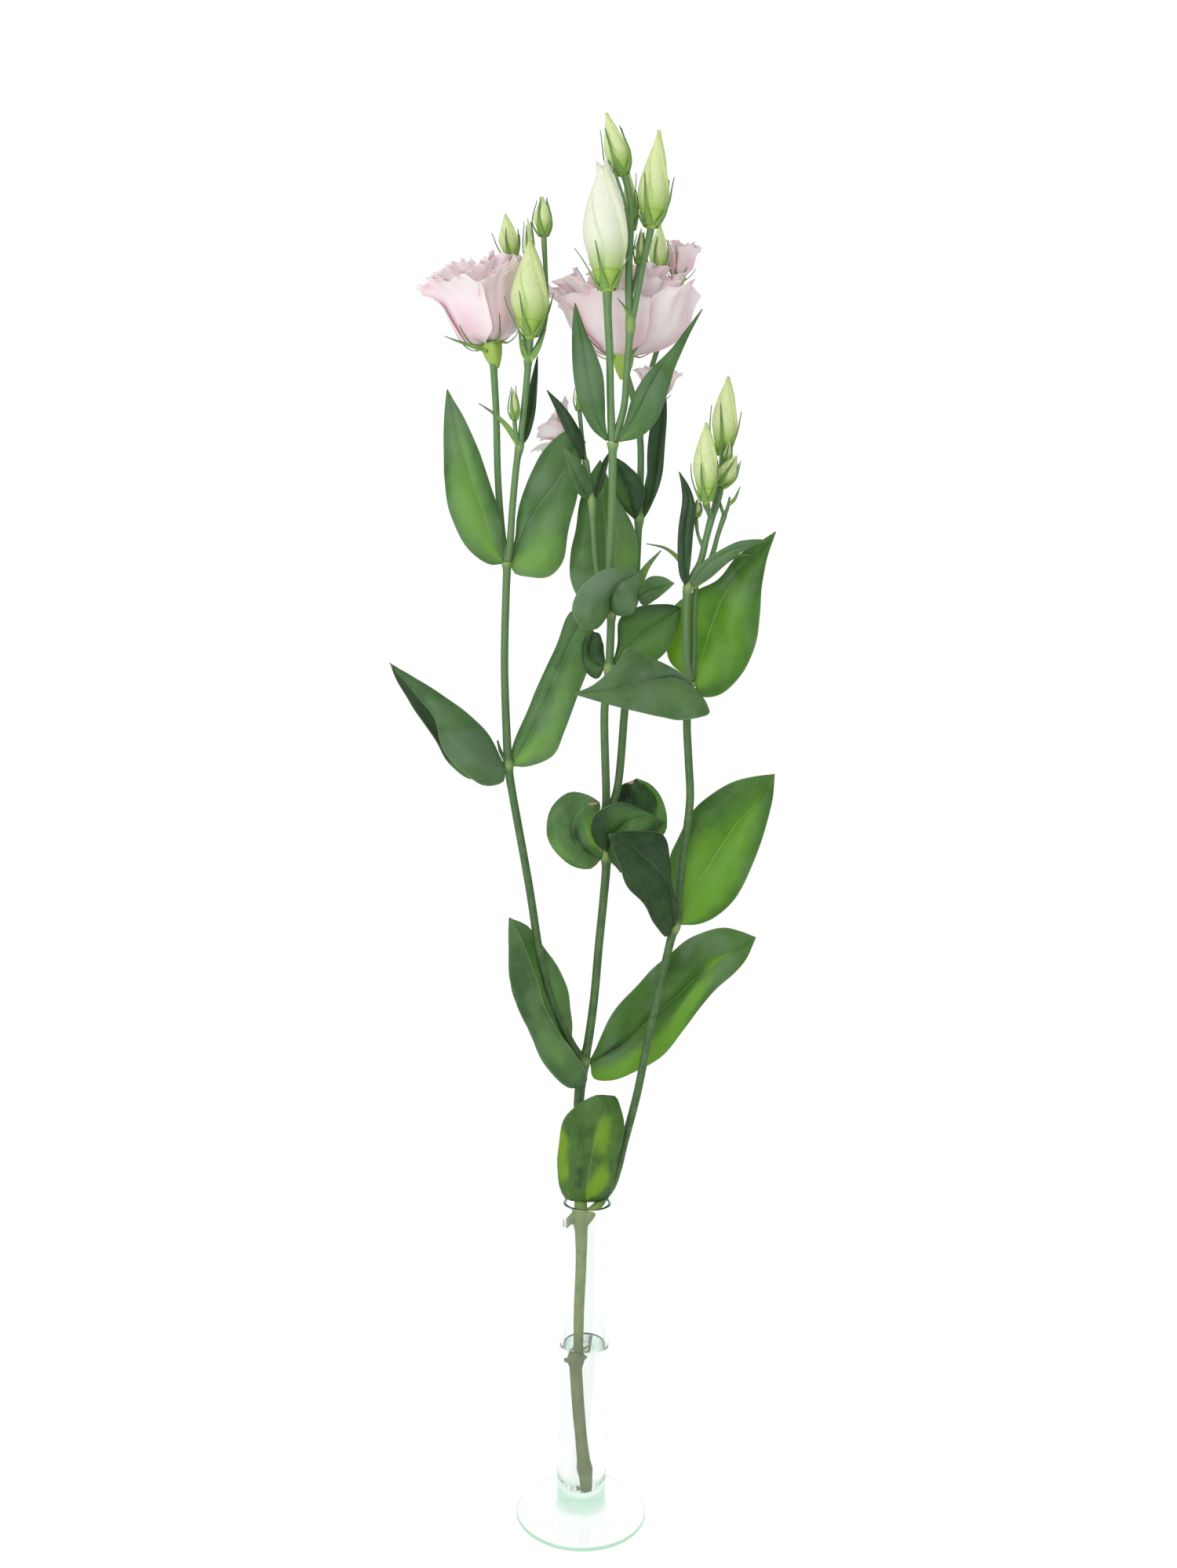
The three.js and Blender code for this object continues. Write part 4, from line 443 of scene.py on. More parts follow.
BRACTS: tuple[Bract, ...] = (
    Bract(((-31.6, 544, -9.6), (-36.4, 552.6, -11.4), (-43.4, 560, -12), (-52, 566, -12)), 1.5),
    Bract(((-27.4, 588, -12), (-29.8, 594.6, -15), (-31.6, 603, -15.6)), 1.5),
    Bract(((-25.8, 587.6, -12), (-21.6, 594.4, -15), (-17.6, 603.8, -15.6)), 1.5),
    Bract(((54, 473, -2), (52.4, 483, 1.4), (44, 491.6, 2.4), (33.4, 494.4, 2)), 1.5),
    Bract(((56.4, 472.4, -1), (66, 479.6, 1), (78, 487.6, 1), (88, 488.6, 0)), 2.4),
    Bract(((28.6, 472, 11.6), (33.4, 482, 9), (41, 491, 8)), 2.2),
    Bract(((75.4, 514, 1.4), (78.4, 517, 0), (81.4, 523.6, -0.6)), 0.9),
    Bract(((25, 606, -23.4), (23, 614, -24.6), (18.8, 619.6, -25.4)), 0.8),
    Bract(((-47.6, 592.6, 2), (-54, 594.6, -2), (-62, 597.4, -4), (-69.6, 600.2, -5)), 1),
)

BUDS: tuple[Bud, ...] = (
    Bud("bud_white", "white_bud_stalk", (13.6, 625.6, -30), (12, 686.8, -31),
        10.6, 0.42, 0.34, 0.5, 2.2, 0.36),
    Bud("bud_top", "upper", (21.4, 684, -21), (13.2, 713.6, -21),
        6.2, 0.3, 0.8, 0.3, 1.2),
    Bud("bud_right", "right_bud_stalk", (36, 657.4, -18), (40, 704.4, -18),
        7.9, 0.28, 0.52, 0.36),
    Bud("bud_behind_top", "hidden_bud_stalk", (25.8, 655.4, -14.4), (24.4, 684.4, -13.6),
        3.8, 0.4, 0.6, 0.1),
    Bud("bud_cluster", "cluster_stalk", (29.6, 638, -15), (30.8, 655, -15),
        2.1, 0.4, 0.9, 0.2),
    Bud("bud_far_right", "far_bud_stalk", (39, 632, 47.6), (40.4, 657, 47),
        5, 0.4, 0.7, 0.05),
    Bud("bud_left_big", "left_shoot", (-25.8, 601.6, -12.4), (-25.6, 648.4, -13),
        9.2, 0.36, 0.44, 0.3, 1.6),
    Bud("bud_left_small", "left_small_stalk", (-35.2, 639.6, 27), (-38.4, 662, 27),
        5.2, 0.4, 0.6, 0.9),
    Bud("bud_left_thin", "left_thin_stalk", (-26, 638, -2), (-27, 660, -2.6),
        2.2, 0.4, 0.9, 0.3),
    Bud("bud_left_upper", "left_upper_stalk", (-18.8, 652.4, -2.4), (-19.6, 671, -3),
        4.6, 0.4, 1, 0.2),
    Bud("bud_left_young", "left_young_stalk", (-33.7, 558.6, -12.2), (-34.4, 573, -13),
        2.2, 0.35, 1.1, 0.1),
    Bud("bud_branch_tall", "tall_stalk", (72.4, 540.6, 12.4), (75.2, 579.2, 13),
        6.4, 0.36, 0.6, 0.3, 1.7),
    Bud("bud_branch_second", "second_stalk", (64, 517.2, -11), (64, 555.6, -12),
        6.3, 0.36, 0.5, 0.15, 1.7),
    Bud("bud_branch_third", "third_stalk", (74, 535.6, 8), (76, 546.4, 4),
        2, 0.4, 0.9, 0.2),
    Bud("bud_branch_low", "low_bud_stalk", (71.8, 524.4, 0), (79.2, 539, -1),
        4.6, 0.42, 0.9, 0.4),
    Bud("bud_branch_tiny", "tiny_stalk", (58.9, 508.8, -3), (59.4, 517, -3),
        2.2, 0.4, 0.9, 0.2),
    Bud("bud_side", "side_bud_stalk", (-0.6, 563, -9), (-1, 576, -9),
        2, 0.4, 0.9, 0.2),
)

BLOOMS: tuple[Bloom, ...] = (
    Bloom("bloom_left", "left_bloom_stalk", (-45, 592, 6.6), (-56, 641, 8), 6.2, 0.9, (
        Layer(5, 0.3, 50, 1.3, ((3, 4), (13, 8.4), (17.4, 20), (20.6, 33), (26.4, 44))),
        Layer(5, 0.8, 46, 1.4, ((2.6, 5), (11, 10), (15, 24), (17.4, 37), (22, 45))),
        Layer(5, 0.2, 44, 1.4, ((2, 6), (9, 14), (12, 30), (14, 41), (17.5, 47.6))),
        Layer(4, 0.6, 50, 1.3, ((1.6, 8), (6, 20), (8, 34), (9.6, 43), (12, 49.4))),
    )),
    Bloom("bloom_centre", "back", (21.6, 586.6, 20.4), (20, 635, 18), 6.4, 0.78, (
        Layer(5, 0.55, 48, 2, ((3, 3), (14, 7.4), (25, 17), (31, 31), (36, 42))),
        Layer(5, 0.05, 44, 1.9, ((2.6, 4), (12, 11), (20, 24), (25, 37), (30, 45.6))),
        Layer(5, 0.55, 44, 1.8, ((2, 6), (9, 16), (15, 31), (19, 42), (23.4, 49))),
        Layer(4, 0.3, 48, 1.5, ((1.6, 8), (6, 22), (10, 36), (12.6, 45), (16, 51))),
    ), 6.5),
    Bloom("bloom_far", "far_stalk", (49.4, 628, 58), (53, 650.4, 58), 4.4, 1, (
        Layer(4, 0.2, 56, 0.8, ((2, 2), (6.4, 8), (7.4, 16), (8, 22))),
        Layer(2, 0.8, 80, 0.6, ((1, 4), (3.2, 10), (3.6, 18), (4.6, 23))),
    )),
    Bloom("bloom_low_left", "side_bloom_stalk", (-2, 547.4, 6), (-20, 556, 12), 3.6, 1, (
        Layer(5, 0.1, 44, 1, ((1.6, 2), (6, 7), (9.4, 13), (13, 18))),
        Layer(2, 0.6, 80, 0.8, ((1, 3), (3, 8), (4.6, 14), (6, 19))),
    )),
    Bloom("bloom_low_right", "low_right_stalk", (37.8, 566, 24.6), (40, 584, 26.6), 3.8, 1, (
        Layer(5, 0.3, 44, 1, ((1.6, 2), (6, 7), (8.6, 13), (10.4, 18))),
        Layer(2, 0.8, 80, 0.8, ((1, 3), (3, 8), (4.4, 14), (5.6, 20))),
    )),
)


def linear(colour: str) -> tuple[float, float, float, float]:
    """Turns an sRGB hex colour into linear light.

    Args:
        colour: The colour as "#rrggbb".

    Returns:
        Red, green, blue and alpha, from 0 to 1.
    """
    parts = [int(colour[place : place + 2], 16) / 255 for place in (1, 3, 5)]
    light = [part / 12.92 if part <= 0.04045 else ((part + 0.055) / 1.055) ** 2.4 for part in parts]
    return (*light, 1.0)


def rise(value: Points, low: float, high: float) -> Points:
    """Climbs smoothly from 0 at low to 1 at high."""
    share = np.clip((np.asarray(value, float) - low) / (high - low), 0, 1)
    return share * share * (3 - 2 * share)


def unit(vectors: Points) -> Points:
    """Gives each vector a length of 1."""
    return vectors / np.maximum(np.linalg.norm(vectors, axis=-1, keepdims=True), 1e-12)


def turns(sides: int) -> Points:
    """Gives the angles of a ring's corners."""
    return np.arange(sides) * FULL_TURN / sides


def mirrored(shares: tuple[float, ...]) -> Points:
    """Spreads shares from the rib to the edge over both halves, from -1 to 1."""
    half = np.asarray(shares)
    return np.concatenate([-half[::-1], half[1:]])


def level_across(along: Points) -> Points:
    """Gives the level direction across a blade, for directions along it."""
    return unit(np.stack([along[..., 2], 0 * along[..., 0], -along[..., 0]], axis=-1))


def rings_around(line: Points, sides: int) -> Points:
    """Turns a profile about the vase's axis, so that its faces look outwards.

    Args:
        line: The profile's points as [radius, height], in millimetres.
        sides: The corners of each ring.

    Returns:
        A ring of points for each point of the profile, in metres.
    """
    radius, height = line[:, :1], line[:, 1:]
    turn = turns(sides)
    return np.stack([radius * np.cos(turn), radius * np.sin(turn), height + 0 * turn], axis=-1) * MM


def spline(points: tuple[Pair, ...], share: Points) -> Points:
    """Runs an even Catmull-Rom spline through the points of a profile.

    Args:
        points: The profile's points.
        share: Where on it to look, from 0 to 1.

    Returns:
        A point of the profile for each share.
    """
    knots = np.asarray(points, float)
    last = len(knots) - 1
    row = np.clip(share, 0, 1) * last
    before = np.minimum(row.astype(int), last - 1)
    t = (row - before)[..., None]
    a, b, c, d = (knots[np.clip(before + step, 0, last)] for step in (-1, 0, 1, 2))
    return b + 0.5 * t * (c - a + t * (2 * a - 5 * b + 4 * c - d + t * (3 * (b - c) + d - a)))


def linked(name: str, data: bpy.types.ID) -> Object:
    """Puts an object of some data in the scene.

    Args:
        name: The object's name.
        data: Its mesh, lamp or camera.

    Returns:
        The object.
    """
    made = bpy.data.objects.new(name, data)
    bpy.context.scene.collection.objects.link(made)
    return made


def dress(piece: Object, node: str, slot: str) -> Object:
    """Lets a piece stand for its CAD node on the vase's body, and logs its slot of the record.

    Args:
        piece: The finished piece.
        node: The CAD node that it replaces.
        slot: Its slot.

    Returns:
        The piece.
    """
    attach(piece, "root")
    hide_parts(node)
    LOG.info("%s: %d faces, %s", piece.name, len(piece.data.polygons), slot)
    return piece


@dataclass(frozen=True)
class View:
    """The front view that the plant is measured in, with its lean against the vase in degrees.

    The eye is at [across, up], at a distance in front of the stem. Its picture is so many rows high,
    and the row straight before the eye is the principal row.
    """

    across: float = 4.0
    up: float = 451.6
    distance: float = 760.0
    lean: float = -1.2
    rows: float = 1999.0
    principal_row: float = 800.0
    focal_pixels: float = 1900.0
    sensor: float = 36.0

    def place(self, typed: Points) -> Points:
        """Turns measured points upright.

        Args:
            typed: Points as [across, up, depth] in the front view, in millimetres.

        Returns:
            Their places in the plant's own upright frame, in millimetres.
        """
        across, up, depth = np.moveaxis(np.asarray(typed, float), -1, 0)
        spread = 1 + depth / self.distance
        return np.stack([
            self.across + (across - self.across) * spread, depth, self.up + (up - self.up) * spread,
        ], axis=-1)

    def turn(self) -> Matrix:
        """Gives the plant's lean about the vase's foot."""
        return Matrix.Rotation(math.radians(self.lean), 4, "Y")

    def settle(self, upright: Points) -> Points:
        """Leans upright plant points with the stem, and turns them into metres."""
        return upright @ np.array(self.turn().to_3x3()).T * MM

    def camera(self) -> None:
        """Makes the camera that sees the plant as it was measured."""
        data = bpy.data.cameras.new("front_camera")
        data.sensor_width = self.sensor
        data.lens = self.sensor * self.focal_pixels / self.rows
        data.shift_y = (self.principal_row - self.rows / 2) / self.rows
        eye = Vector((self.across, -self.distance, self.up)) * MM
        camera = linked("front_camera", data)
        camera.matrix_world = self.turn() @ Matrix.Translation(eye) @ Matrix.Rotation(math.pi / 2, 4, "X")
        bpy.context.scene.camera = camera


VIEW = View()


class SmoothLine:
    """A centripetal Catmull-Rom curve through points, measured along its length."""

    SAMPLES = 40
    # The share of the length on each side of a place over which its direction is taken.
    NEAR = 0.004

    def __init__(self, points: Points) -> None:
        """Samples the curve.

        Args:
            points: The points that it goes through, one to a row.
        """
        ends = np.vstack([2 * points[0] - points[1], points, 2 * points[-1] - points[-2]])
        parts = [self._stretch(ends[first : first + 4]) for first in range(len(points) - 1)]
        self.samples = np.vstack([*parts, points[-1:]])
        steps = np.linalg.norm(np.diff(self.samples, axis=0), axis=1)
        travelled = np.concatenate([[0], np.cumsum(steps)])
        self.length = travelled[-1]
        self.share = travelled / self.length
        self.row = np.arange(len(self.samples)) / self.SAMPLES

    def _stretch(self, near: Points) -> Points:
        """Samples one stretch.

        Args:
            near: Four points. The stretch lies between the middle two.

        Returns:
            Points along it, without its end.
        """
        gaps = np.maximum(np.sum(np.diff(near, axis=0) ** 2, axis=1) ** 0.25, 1e-4)
        slopes = [
            (near[k] - near[k - 1]) / gaps[k - 1] - (near[k + 1] - near[k - 1]) / (gaps[k - 1] + gaps[k])
            + (near[k + 1] - near[k]) / gaps[k] for k in (1, 2)
        ]
        start, end = slopes[0] * gaps[1], slopes[1] * gaps[1]
        t = np.linspace(0, 1, self.SAMPLES, endpoint=False)[:, None]
        bend = -3 * near[1] + 3 * near[2] - 2 * start - end
        twist = 2 * near[1] - 2 * near[2] + start + end
        return near[1] + start * t + bend * t**2 + twist * t**3

    def at(self, share: Points) -> Points:
        """Gives the points at shares of the length."""
        return np.stack([np.interp(share, self.share, axis) for axis in self.samples.T], axis=-1)

    def along(self, share: Points) -> Points:
        """Gives the directions at shares of the length."""
        return unit(self.at(np.minimum(share + self.NEAR, 1)) - self.at(np.maximum(share - self.NEAR, 0)))

    def blend_rows(self, share: Points, values: Points) -> Points:
        """Blends values of the curve's points smoothly along it.

        Args:
            share: Where on the curve to look.
            values: One value for each point that the curve goes through.

        Returns:
            A value for each share.
        """
        row = np.interp(share, self.share, self.row)
        before = np.minimum(row.astype(int), len(values) - 2)
        mix = rise(row - before, 0, 1)
        return values[before] * (1 - mix) + values[before + 1] * mix


class Skin:
    """The points and faces of one piece, with named values at each point."""

    VALUES = ("along", "side", "glow", "dry")

    def __init__(self) -> None:
        """Starts with nothing."""
        self.points: list[Points] = []
        self.faces: list[list[int]] = []
        self.finish: list[int] = []
        self.values: dict[str, list[Points]] = {name: [] for name in self.VALUES}
        self.count = 0

    def add(self, points: Points, faces: list[list[int]], finish: int, values: dict[str, Points]) -> None:
        """Adds points and the faces between them.

        Args:
            points: The new points, in metres, in any grid.
            faces: Faces as numbers of the new points.
            finish: Which of the piece's finishes they take.
            values: What to note at each point, for any of VALUES.
        """
        flat = points.reshape(-1, 3)
        self.points.append(flat)
        self.faces += [[corner + self.count for corner in face] for face in faces]
        self.finish += [finish] * len(faces)
        for name in self.VALUES:
            given = np.broadcast_to(values.get(name, 0.0), points.shape[:-1])
            self.values[name].append(given.astype(np.float32).reshape(-1))
        self.count += len(flat)

    def add_tube(self, rings: Points, finish: int = 0, **values: Points) -> None:
        """Adds a tube of rings, with a face over each end.

        Args:
            rings: The corners of each ring, in metres.
            finish: Which of the piece's finishes it takes.
            **values: What to note at each corner.
        """
        count, sides = rings.shape[:2]
        ring = np.arange(count - 1)[:, None] * sides
        side = np.arange(sides)
        after = (side + 1) % sides
        wall = np.stack([ring + side, ring + after, ring + sides + after, ring + sides + side], axis=-1)
        last = (count - 1) * sides
        ends = [list(range(sides))[::-1], list(range(last, last + sides))]
        self.add(rings, [*wall.reshape(-1, 4).tolist(), *ends], finish, values)

    def add_blade(self, grid: Points, thickness: Points, finish: int = 0, **values: Points) -> None:
        """Adds a closed blade: its front, its back and the strip round its rim.

        Args:
            grid: The middle of the blade, in metres.
            thickness: Its thickness at each place, in millimetres.
            finish: Which of the piece's finishes it takes.
            **values: What to note at each place.
        """
        rows, columns = grid.shape[:2]
        normal = unit(np.cross(np.gradient(grid, axis=0), np.gradient(grid, axis=1)))
        offset = normal * (np.broadcast_to(thickness, (rows, columns)) * MM / 2)[..., None]
        number = np.arange(rows * columns).reshape(rows, columns)
        behind = rows * columns
        corners = [number[:-1, :-1], number[1:, :-1], number[1:, 1:], number[:-1, 1:]]
        front = np.stack(corners, axis=-1).reshape(-1, 4)
        parts = [number[:, 0], number[-1, 1:], number[-2::-1, -1], number[0, -2:0:-1]]
        rim = np.concatenate(parts).tolist()
        edge = [[after, here, here + behind, after + behind] for here, after in zip(rim, rim[1:] + rim[:1])]
        faces = [*front.tolist(), *(front[:, ::-1] + behind).tolist(), *edge]
        self.add(np.stack([grid + offset, grid - offset]), faces, finish, values)

    def piece(self, name: str, *finishes: Material) -> Object:
        """Makes the smooth mesh object.

        Args:
            name: The piece's name.
            *finishes: Its materials.

        Returns:
            The piece.
        """
        mesh = bpy.data.meshes.new(name)
        mesh.from_pydata(np.vstack(self.points).tolist(), [], self.faces)
        mesh.polygons.foreach_set("material_index", self.finish)
        mesh.polygons.foreach_set("use_smooth", [True] * len(self.faces))
        for value, parts in self.values.items():
            mesh.attributes.new(value, "FLOAT", "POINT").data.foreach_set("value", np.concatenate(parts))
        for finish in finishes:
            mesh.materials.append(finish)
        mesh.update()
        return linked(name, mesh)


@dataclass(frozen=True)
class Axis:
    """The frame of a bud or bloom: its base, its axis and two directions across it."""

    origin: Points
    up: Points
    length: float
    first: Points
    second: Points

    @classmethod
    def between(cls, base: Place, tip: Place) -> Axis:
        """Sets the frame between two measured points.

        Args:
            base: Where the flower grows from.
            tip: Where its axis ends.

        Returns:
            The frame, in millimetres, upright.
        """
        origin = VIEW.place(base)
        reach = VIEW.place(tip) - origin
        length = float(np.linalg.norm(reach))
        up = reach / length
        first = unit(-np.cross(np.cross((1.0, 0.0, 0.0), up), up))
        return cls(origin, up, length, first, unit(np.cross(up, first)))

    def around(self, radius: Points, angle: Points, height: Points, flatten: float = 1.0) -> Points:
        """Places points about the axis.

        Args:
            radius: Their distance from the axis.
            angle: Their angle round it.
            height: Their height along it.
            flatten: How far the shape is narrowed from front to back.

        Returns:
            The points, in metres in the part's frame.
        """
        radius, angle, height = (np.asarray(value)[..., None] for value in (radius, angle, height))
        aside = self.first * radius * np.cos(angle) + self.second * radius * np.sin(angle) * flatten
        return VIEW.settle(self.origin + self.up * height + aside)


def add_node(tree: Tree, kind: str, inputs: dict | None = None, **settings: object) -> bpy.types.Node:
    """Adds a node with its settings and links.

    Args:
        tree: The node tree to add it to.
        kind: The node's type.
        inputs: For each input's name or number, a constant or the output that feeds it.
        **settings: The node's own properties.

    Returns:
        The new node.
    """
    node = tree.nodes.new(kind)
    for name, value in settings.items():
        setattr(node, name, value)
    for key, value in (inputs or {}).items():
        if isinstance(value, Socket):
            tree.links.new(value, node.inputs[key])
        else:
            node.inputs[key].default_value = value
    return node


def new_material(name: str) -> tuple[Material, Tree]:
    """Makes an empty node material.

    Args:
        name: The material's name.

    Returns:
        The material and its node tree.
    """
    material = bpy.data.materials.new(name)
    material.use_nodes = True
    material.node_tree.nodes.clear()
    return material, material.node_tree


class Cue(Enum):
    """What a coat of colour follows: a value noted at each point, or one worked out from them."""

    ALONG = "along"
    SIDE = "side"
    GLOW = "glow"
    DRY = "dry"
    HEIGHT = "height"
    OFF_RIB = "off_rib"
    OFF_INNER_VEIN = "off_inner_vein"
    OFF_OUTER_VEIN = "off_outer_vein"
    LIGHT = "light"
    BRIGHT = "bright"
    STRAW = "straw"
    STREAK = "streak"


@dataclass(frozen=True)
class Grain:
    """A soft unevenness that follows the object, with spots of a size in millimetres."""

    size: float
    detail: float = 2.0


@dataclass(frozen=True)
class Coat:
    """A colour that covers what is under it as its cue goes from low to high, up to top.

    It comes in smoothly, or in a straight line.
    """

    colour: str
    cue: Cue | Grain = Cue.ALONG
    low: float = 0.0
    high: float = 1.0
    top: float = 1.0
    straight: bool = False


Coats = tuple[Coat, ...]
# For a cue, what it starts from and the sums done to it, each with its operation and other values.
Sums = dict[Cue, tuple]


class Painter:
    """Lays coats of colour over each other in one node tree."""

    def __init__(self, tree: Tree, sums: Sums) -> None:
        """Starts with the values noted at each point.

        Args:
            tree: The node tree.
            sums: How further cues are worked out.
        """
        self.tree = tree
        self.sums = sums
        self.found: dict[Cue | Grain, Socket] = {}

    def follow(self, cue: Cue | Grain) -> Socket:
        """Finds the output of a cue, and adds its nodes at its first use.

        Args:
            cue: What to follow.

        Returns:
            Its output.
        """
        if cue in self.found:
            return self.found[cue]
        if isinstance(cue, Grain):
            place = add_node(self.tree, "ShaderNodeTexCoord").outputs["Object"]
            inputs = {"Vector": place, "Scale": 1 / (cue.size * MM), "Detail": cue.detail}
            value = add_node(self.tree, "ShaderNodeTexNoise", inputs).outputs["Fac"]
        elif cue in self.sums:
            start, *steps = self.sums[cue]
            value = self.follow(start)
            for operation, *others in steps:
                given = [self.follow(other) if isinstance(other, Cue) else other for other in others]
                inputs = dict(enumerate([value, *given]))
                value = add_node(self.tree, "ShaderNodeMath", inputs, operation=operation).outputs[0]
        else:
            value = add_node(self.tree, "ShaderNodeAttribute", attribute_name=cue.value).outputs["Fac"]
        self.found[cue] = value
        return value

    def cover(self, coat: Coat) -> Socket:
        """Works out how much of a coat shows.

        Args:
            coat: The coat.

        Returns:
            The output with its share.
        """
        inputs = {
            "Value": self.follow(coat.cue), "From Min": coat.low, "From Max": coat.high, "To Max": coat.top,
        }
        curve = "LINEAR" if coat.straight else "SMOOTHSTEP"
        return add_node(self.tree, "ShaderNodeMapRange", inputs, interpolation_type=curve).outputs["Result"]

    def lay(self, coats: Coats) -> Socket | tuple[float, ...]:
        """Lays coats over the first of them, which covers all.

        Args:
            coats: The coats.

        Returns:
            The colour that they make.
        """
        colour = linear(coats[0].colour)
        for coat in coats[1:]:
            inputs = {0: self.cover(coat), MIX_A: colour, MIX_B: linear(coat.colour)}
            colour = add_node(self.tree, "ShaderNodeMix", inputs, data_type="RGBA").outputs[MIXED]
        return colour


@dataclass(frozen=True)
class ClearBody:
    """A clear body with a polished face: no roughness, and perhaps a colour at its thick edges.

    Light loses the tint's opposite on its way through, by the density.
    """

    name: str
    index: float
    edge: str = ""
    tint: str = "#ffffff"
    density: float = 0.0

    def build(self) -> Material:
        """Makes the material.

        Returns:
            The material.
        """
        material, tree = new_material(self.name)
        edges = (Coat(self.edge, Cue.GLOW, straight=True),) if self.edge else ()
        colour = Painter(tree, {}).lay((Coat("#ffffff"), *edges))
        clear = add_node(tree, "ShaderNodeBsdfPrincipled", {
            "Base Color": colour, "Roughness": 0.0, "IOR": self.index, "Transmission Weight": 1.0,
        })
        ends = {"Surface": clear.outputs[0]}
        if self.density:
            inputs = {"Color": linear(self.tint), "Density": self.density}
            ends["Volume"] = add_node(tree, "ShaderNodeVolumeAbsorption", inputs).outputs[0]
        add_node(tree, "ShaderNodeOutputMaterial", ends)
        return material


@dataclass(frozen=True)
class BlownGlass(ClearBody):
    """Clear soda glass, fire-polished, with a trace of iron that greens the thick parts."""

    name: str = "blown_glass"
    index: float = 1.5
    edge: str = "#86cb9a"
    tint: str = "#a6e4c6"
    density: float = 20.0


@dataclass(frozen=True)
class StillWater(ClearBody):
    """Clean tap water: quite clear, so only its bending of light shows it."""

    name: str = "still_water"
    index: float = 1.333


@dataclass(frozen=True)
class LivingSkin:
    """Thin plant tissue: a satin wax skin, with some light scattered straight through it.

    Its relief is a fine grain, too fine to see, drawn a little coarser so that it breaks up the shine.
    """

    name: str
    roughness: float = 0.45
    through: float = 0.5
    sheen: float = 0.0
    index: float = 1.42
    relief: Cue | Grain | None = None
    strength: float = 0.25
    depth: float = 0.3

    def face(self) -> Coats:
        """Lists the coats of the light that the skin throws back."""
        raise NotImplementedError

    def passed(self) -> Coats:
        """Lists the coats of the light that passes, or none where both are alike."""
        return ()

    def sums(self) -> Sums:
        """Lists how the skin's own cues are worked out."""
        return {}

    def prepare(self, painter: Painter) -> None:
        """Adds cues that need more than sums, to the painter that lays the coats."""

    def build(self) -> Material:
        """Makes the material.

        Returns:
            The material.
        """
        material, tree = new_material(self.name)
        painter = Painter(tree, self.sums())
        self.prepare(painter)
        face = painter.lay(self.face())
        passed = painter.lay(self.passed()) if self.passed() else face
        inputs = {
            "Base Color": face, "Roughness": self.roughness, "IOR": self.index, "Sheen Weight": self.sheen,
        }
        if self.relief:
            inputs["Normal"] = add_node(tree, "ShaderNodeBump", {
                "Height": painter.follow(self.relief), "Strength": self.strength,
                "Distance": self.depth * MM,
            }).outputs["Normal"]
        skin = add_node(tree, "ShaderNodeBsdfPrincipled", inputs)
        glow = add_node(tree, "ShaderNodeBsdfTranslucent", {"Color": passed})
        shares = {0: self.through, 1: skin.outputs[0], 2: glow.outputs[0]}
        both = add_node(tree, "ShaderNodeMixShader", shares)
        add_node(tree, "ShaderNodeOutputMaterial", {"Surface": both.outputs[0]})
        return material


